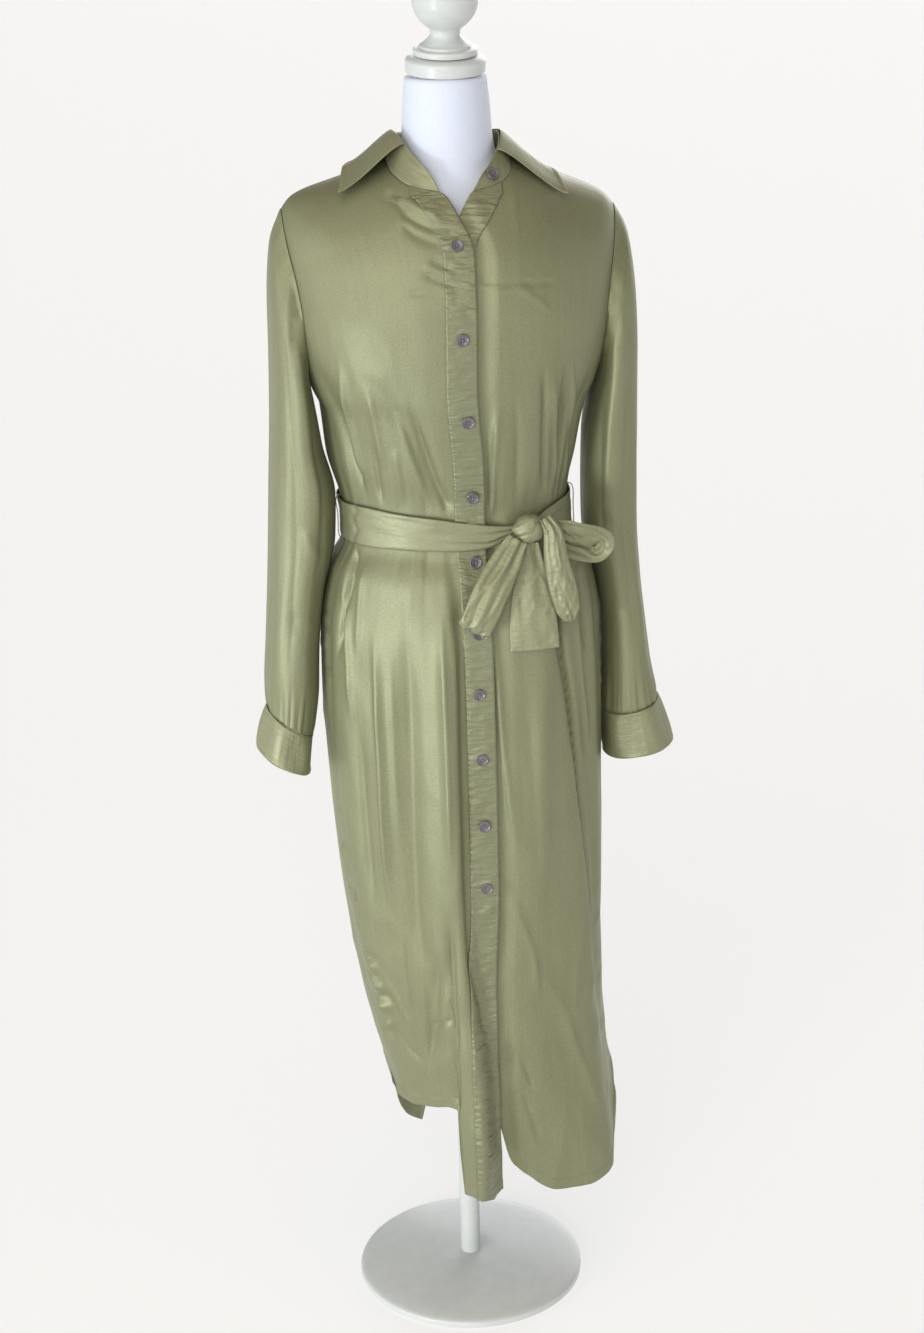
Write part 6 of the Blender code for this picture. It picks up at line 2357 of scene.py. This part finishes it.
# name, strength, azimuth, elevation, apparent width and colour of each wide sun, as `sun` takes them
SUNS = (
    ("front_window", 1.65, -22.0, 22.0, 48.0, (1.0, 0.98, 0.94)),
    ("side_window", 0.15, 75.0, 8.0, 30.0, (0.97, 0.98, 1.0)),
    ("outer_window", 0.7, -78.0, 10.0, 36.0, (1.0, 1.0, 0.98)),
    ("back_window", 1.9, 155.0, 12.0, 50.0, (0.98, 0.99, 1.0)),
    ("ceiling_light", 0.62, 0.0, 74.0, 50.0, (1.0, 0.80, 0.54)),
)


@dataclass
class Studio:
    """Pale floor, soft light and the camera."""

    azimuth: float = -7.0
    elevation: float = 20.0
    roll: float = 1.2
    eye_height: float = 1.764
    eye_distance: float = 2.62
    eye_shift: float = 0.0045
    lens: float = 64.8
    aim: Triple = (0.0, 0.0, 0.80)
    beam: float = 75.0
    floor_half: float = 60.0
    horizon: float = 0.31
    zenith: float = 0.19
    haze: float = 0.52
    floor_glow: float = 0.61

    def place_camera(self) -> None:
        """Sets the camera that looks down on the front from a little to the wearer's right."""
        turn = math.radians(self.azimuth)
        place = Vector((math.cos(turn), math.sin(turn), 0.0)) * self.eye_shift
        place += Vector((math.sin(turn), -math.cos(turn), 0.0)) * self.eye_distance
        place.z = self.eye_height
        camera = bpy.data.cameras.new("studio_camera")
        camera.lens = self.lens
        camera.sensor_width = 36.0
        roll = Matrix.Rotation(math.radians(-self.roll), 4, "Z")
        look = facing(towards(self.azimuth, self.elevation))
        bpy.context.scene.camera = hang("studio_camera", camera, Matrix.Translation(place) @ look @ roll)

    def lay_floor(self) -> None:
        """Lays the pale floor."""
        half = self.floor_half
        corners = np.array([(-half, -half, 0.0), (half, -half, 0.0), (half, half, 0.0), (-half, half, 0.0)])
        mesh = mesh_of("studio_floor", corners, [(0, 1, 2, 3)])
        material = bpy.data.materials.new("pale_floor")
        shader = principled(material)
        set_inputs(shader, {"Base Color": (0.36, 0.36, 0.36, 1.0), "Roughness": 0.9,
                            "Emission Color": (1.0, 1.0, 1.0, 1.0), "Emission Strength": self.floor_glow,
                            "Specular IOR Level": 0.1})
        mesh.materials.append(material)
        floor = hang("studio_floor", mesh, Matrix.Identity(4))

    def sun(self, name: str, strength: float, azimuth: float, elevation: float, width: float,
            colour: Triple) -> None:
        """Adds one wide soft sun.

        Args:
            name: its name.
            strength: its strength.
            azimuth: where it stands, 0 in front and +90 at the wearer's left.
            elevation: its height over the floor in degrees.
            width: its apparent width in degrees, which softens it.
            colour: its colour.
        """
        lamp = bpy.data.lights.new(name, "SUN")
        lamp.energy = strength
        lamp.angle = math.radians(width)
        lamp.color = colour
        hang(name, lamp, facing(towards(azimuth, elevation)))

    def softbox(self, name: str, watts: float, place: Triple,
                size: tuple[float, float], colour: Triple) -> None:
        """Adds one rectangular lamp turned to the middle of the dress.

        Args:
            name: its name.
            watts: its power.
            place: where its middle stands.
            size: its width and height.
            colour: its colour.
        """
        lamp = bpy.data.lights.new(name, "AREA")
        lamp.shape = "RECTANGLE"
        lamp.size, lamp.size_y = size
        lamp.spread = math.radians(self.beam)
        lamp.energy = watts
        lamp.color = colour
        turned = facing(Vector(place) - Vector(self.aim))
        hang(name, lamp, Matrix.Translation(Vector(place)) @ turned)

    def light(self) -> None:
        """A soft room of light, a wide window from the front and a weaker one beside it."""
        world = bpy.data.worlds.new("studio_air")
        world.use_nodes = True
        sheet = ShaderSheet(world.node_tree)
        way = sheet.add("ShaderNodeTexCoord")
        parts = sheet.add("ShaderNodeSeparateXYZ")
        sheet.link(way.outputs["Generated"], parts.inputs[0])
        glow = []
        for low, high, start, end in ((-0.05, 0.75, self.horizon, self.zenith), (0.0, 0.30, self.haze, 0.0)):
            blend = sheet.add("ShaderNodeMapRange", {"From Min": low, "From Max": high, "To Min": start,
                                                     "To Max": end}, interpolation_type="SMOOTHSTEP")
            sheet.link(parts.outputs["Z"], blend.inputs["Value"])
            glow.append(blend.outputs["Result"])
        air = world.node_tree.nodes["Background"]
        air.inputs["Color"].default_value = (0.96, 0.98, 1.0, 1.0)
        sheet.link(sheet.math("ADD", *glow), air.inputs["Strength"])
        bpy.context.scene.world = world
        bpy.context.scene.view_settings.view_transform = "Standard"
        self.softbox("low_softbox", 4.6, (-1.80, -1.60, 0.50), (0.5, 0.6), (0.90, 1.0, 1.02))
        for sun in SUNS:
            self.sun(*sun)


def main() -> None:
    """Builds the studio, the form and the dress, one sub-assembly after the other."""
    logging.basicConfig(level=logging.INFO, format="%(name)s: %(message)s")
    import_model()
    studio = Studio()
    studio.place_camera()
    studio.lay_floor()
    studio.light()
    finishes = Finishes.mixed()
    DressForm(finishes).build()
    bodice = Bodice(finishes)
    bodice.build()
    sleeves = [Sleeve(finishes, Side.RIGHT, SLEEVE_RIGHT, CUFF_RIGHT),
               Sleeve(finishes, Side.LEFT, SLEEVE_LEFT, CUFF_LEFT)]
    for sleeve in sleeves:
        sleeve.build_sleeve()
        sleeve.build_cuff()
    collar = Collar(finishes, bodice)
    collar.build()
    belt = Belt(finishes)
    belt.build()
    stitching = Stitching(finishes)
    buttons = Buttons(finishes)
    stitching.threads = buttons.build()
    stitching.holes = buttons.holes
    add_seams(stitching, bodice, sleeves, collar, belt)
    stitching.build()
    declare_sheets()


HEM_STITCH_ROW = 6


def add_seams(stitching: Stitching, bodice: Bodice, sleeves: Sequence[Sleeve], collar: Collar,
              belt: Belt) -> None:
    """Sews the rows of stitches of strips, hems, cuffs and collar, and the belt's carriers.

    Args:
        stitching: takes the rows.
        bodice: the fronts, strips and back.
        sleeves: both sleeves.
        collar: the collar.
        belt: the belt.
    """
    stitching.loops = belt.loop_lines()
    for name in ("placket", "button_band"):
        strip = bodice.panels[name]
        for column in (1, bodice.lap_columns - 2):
            stitching.add(strip.points[:, column], strip.normals[:, column])
    for name in ("right_front", "left_front", "back"):
        panel = bodice.panels[name]
        first = bodice.lap_columns if name != "back" else 0
        stitching.add(panel.points[HEM_STITCH_ROW, first:], panel.normals[HEM_STITCH_ROW, first:])
    for sleeve in sleeves:
        for row in (2, -3):
            stitching.add(sleeve.cuff_points[row], sleeve.cuff_normals[row])
    normals = grid_normals(collar.leaf)
    stitching.add(collar.leaf[-3], normals[-3])
    for column in (3, -4):
        stitching.add(collar.leaf[6:, column], normals[6:, column])


@dataclass(frozen=True)
class Cut:
    """What one sheet of cloth was cut to before it was sewn and hung."""

    piece: str
    flat: tuple[float, float]
    held: str
    rests_on: tuple[str, ...]
    area: float | None = None
    with_pieces: tuple[str, ...] = ()


FORM_NODE = "form_torso"
CUTS = (
    Cut("sewn_right_front", (0.300, 1.240), "draped", (FORM_NODE,), 0.300),
    Cut("sewn_left_front", (0.310, 1.260), "draped", (FORM_NODE,), 0.305),
    Cut("sewn_back", (0.600, 1.240), "draped", (FORM_NODE,), 0.520),
    Cut("sewn_placket", (0.036, 1.220), "draped", ("sewn_right_front",)),
    Cut("sewn_button_band", (0.034, 1.180), "draped", ("sewn_left_front",), None,
        tuple(f"turned_button_{k:02d}" for k in range(1, 11))),
    Cut("sewn_right_sleeve", (0.400, 0.560), "hung", ("sewn_right_front", "sewn_back"), 0.136),
    Cut("sewn_left_sleeve", (0.400, 0.560), "hung", ("sewn_left_front", "sewn_back"), 0.132),
    Cut("sewn_right_cuff", (0.245, 0.050), "hung", ("sewn_right_sleeve",), None,
        ("turned_right_cuff_button",)),
    Cut("sewn_left_cuff", (0.260, 0.056), "hung", ("sewn_left_sleeve",), None,
        ("turned_left_cuff_button",)),
    Cut("sewn_collar_stand", (0.400, 0.028), "folded", (FORM_NODE,), None, ("turned_stand_button",)),
    Cut("sewn_collar_leaf", (0.440, 0.058), "folded", ("sewn_collar_stand",), 0.021),
    Cut("tied_belt", (0.780, 0.044), "stretched", ("sewn_right_front", "sewn_left_front", "sewn_back"),
        None, ("tied_knot",)),
    Cut("tied_bow_low_loop", (0.210, 0.044), "folded", ("tied_knot",)),
    Cut("tied_bow_side_loop", (0.130, 0.044), "folded", ("tied_knot",)),
    Cut("tied_belt_wide_end", (0.125, 0.055), "hung", ("tied_knot",)),
    Cut("tied_belt_narrow_end", (0.120, 0.036), "hung", ("tied_knot",)),
)


def declare_sheets() -> None:
    """Says what each sheet of cloth was cut to, before it was sewn and hung."""
    for cut in CUTS:
        LOG.info("%s: cut %.3f x %.3f m", cut.piece, *cut.flat)


if __name__ == "__main__":
    main()
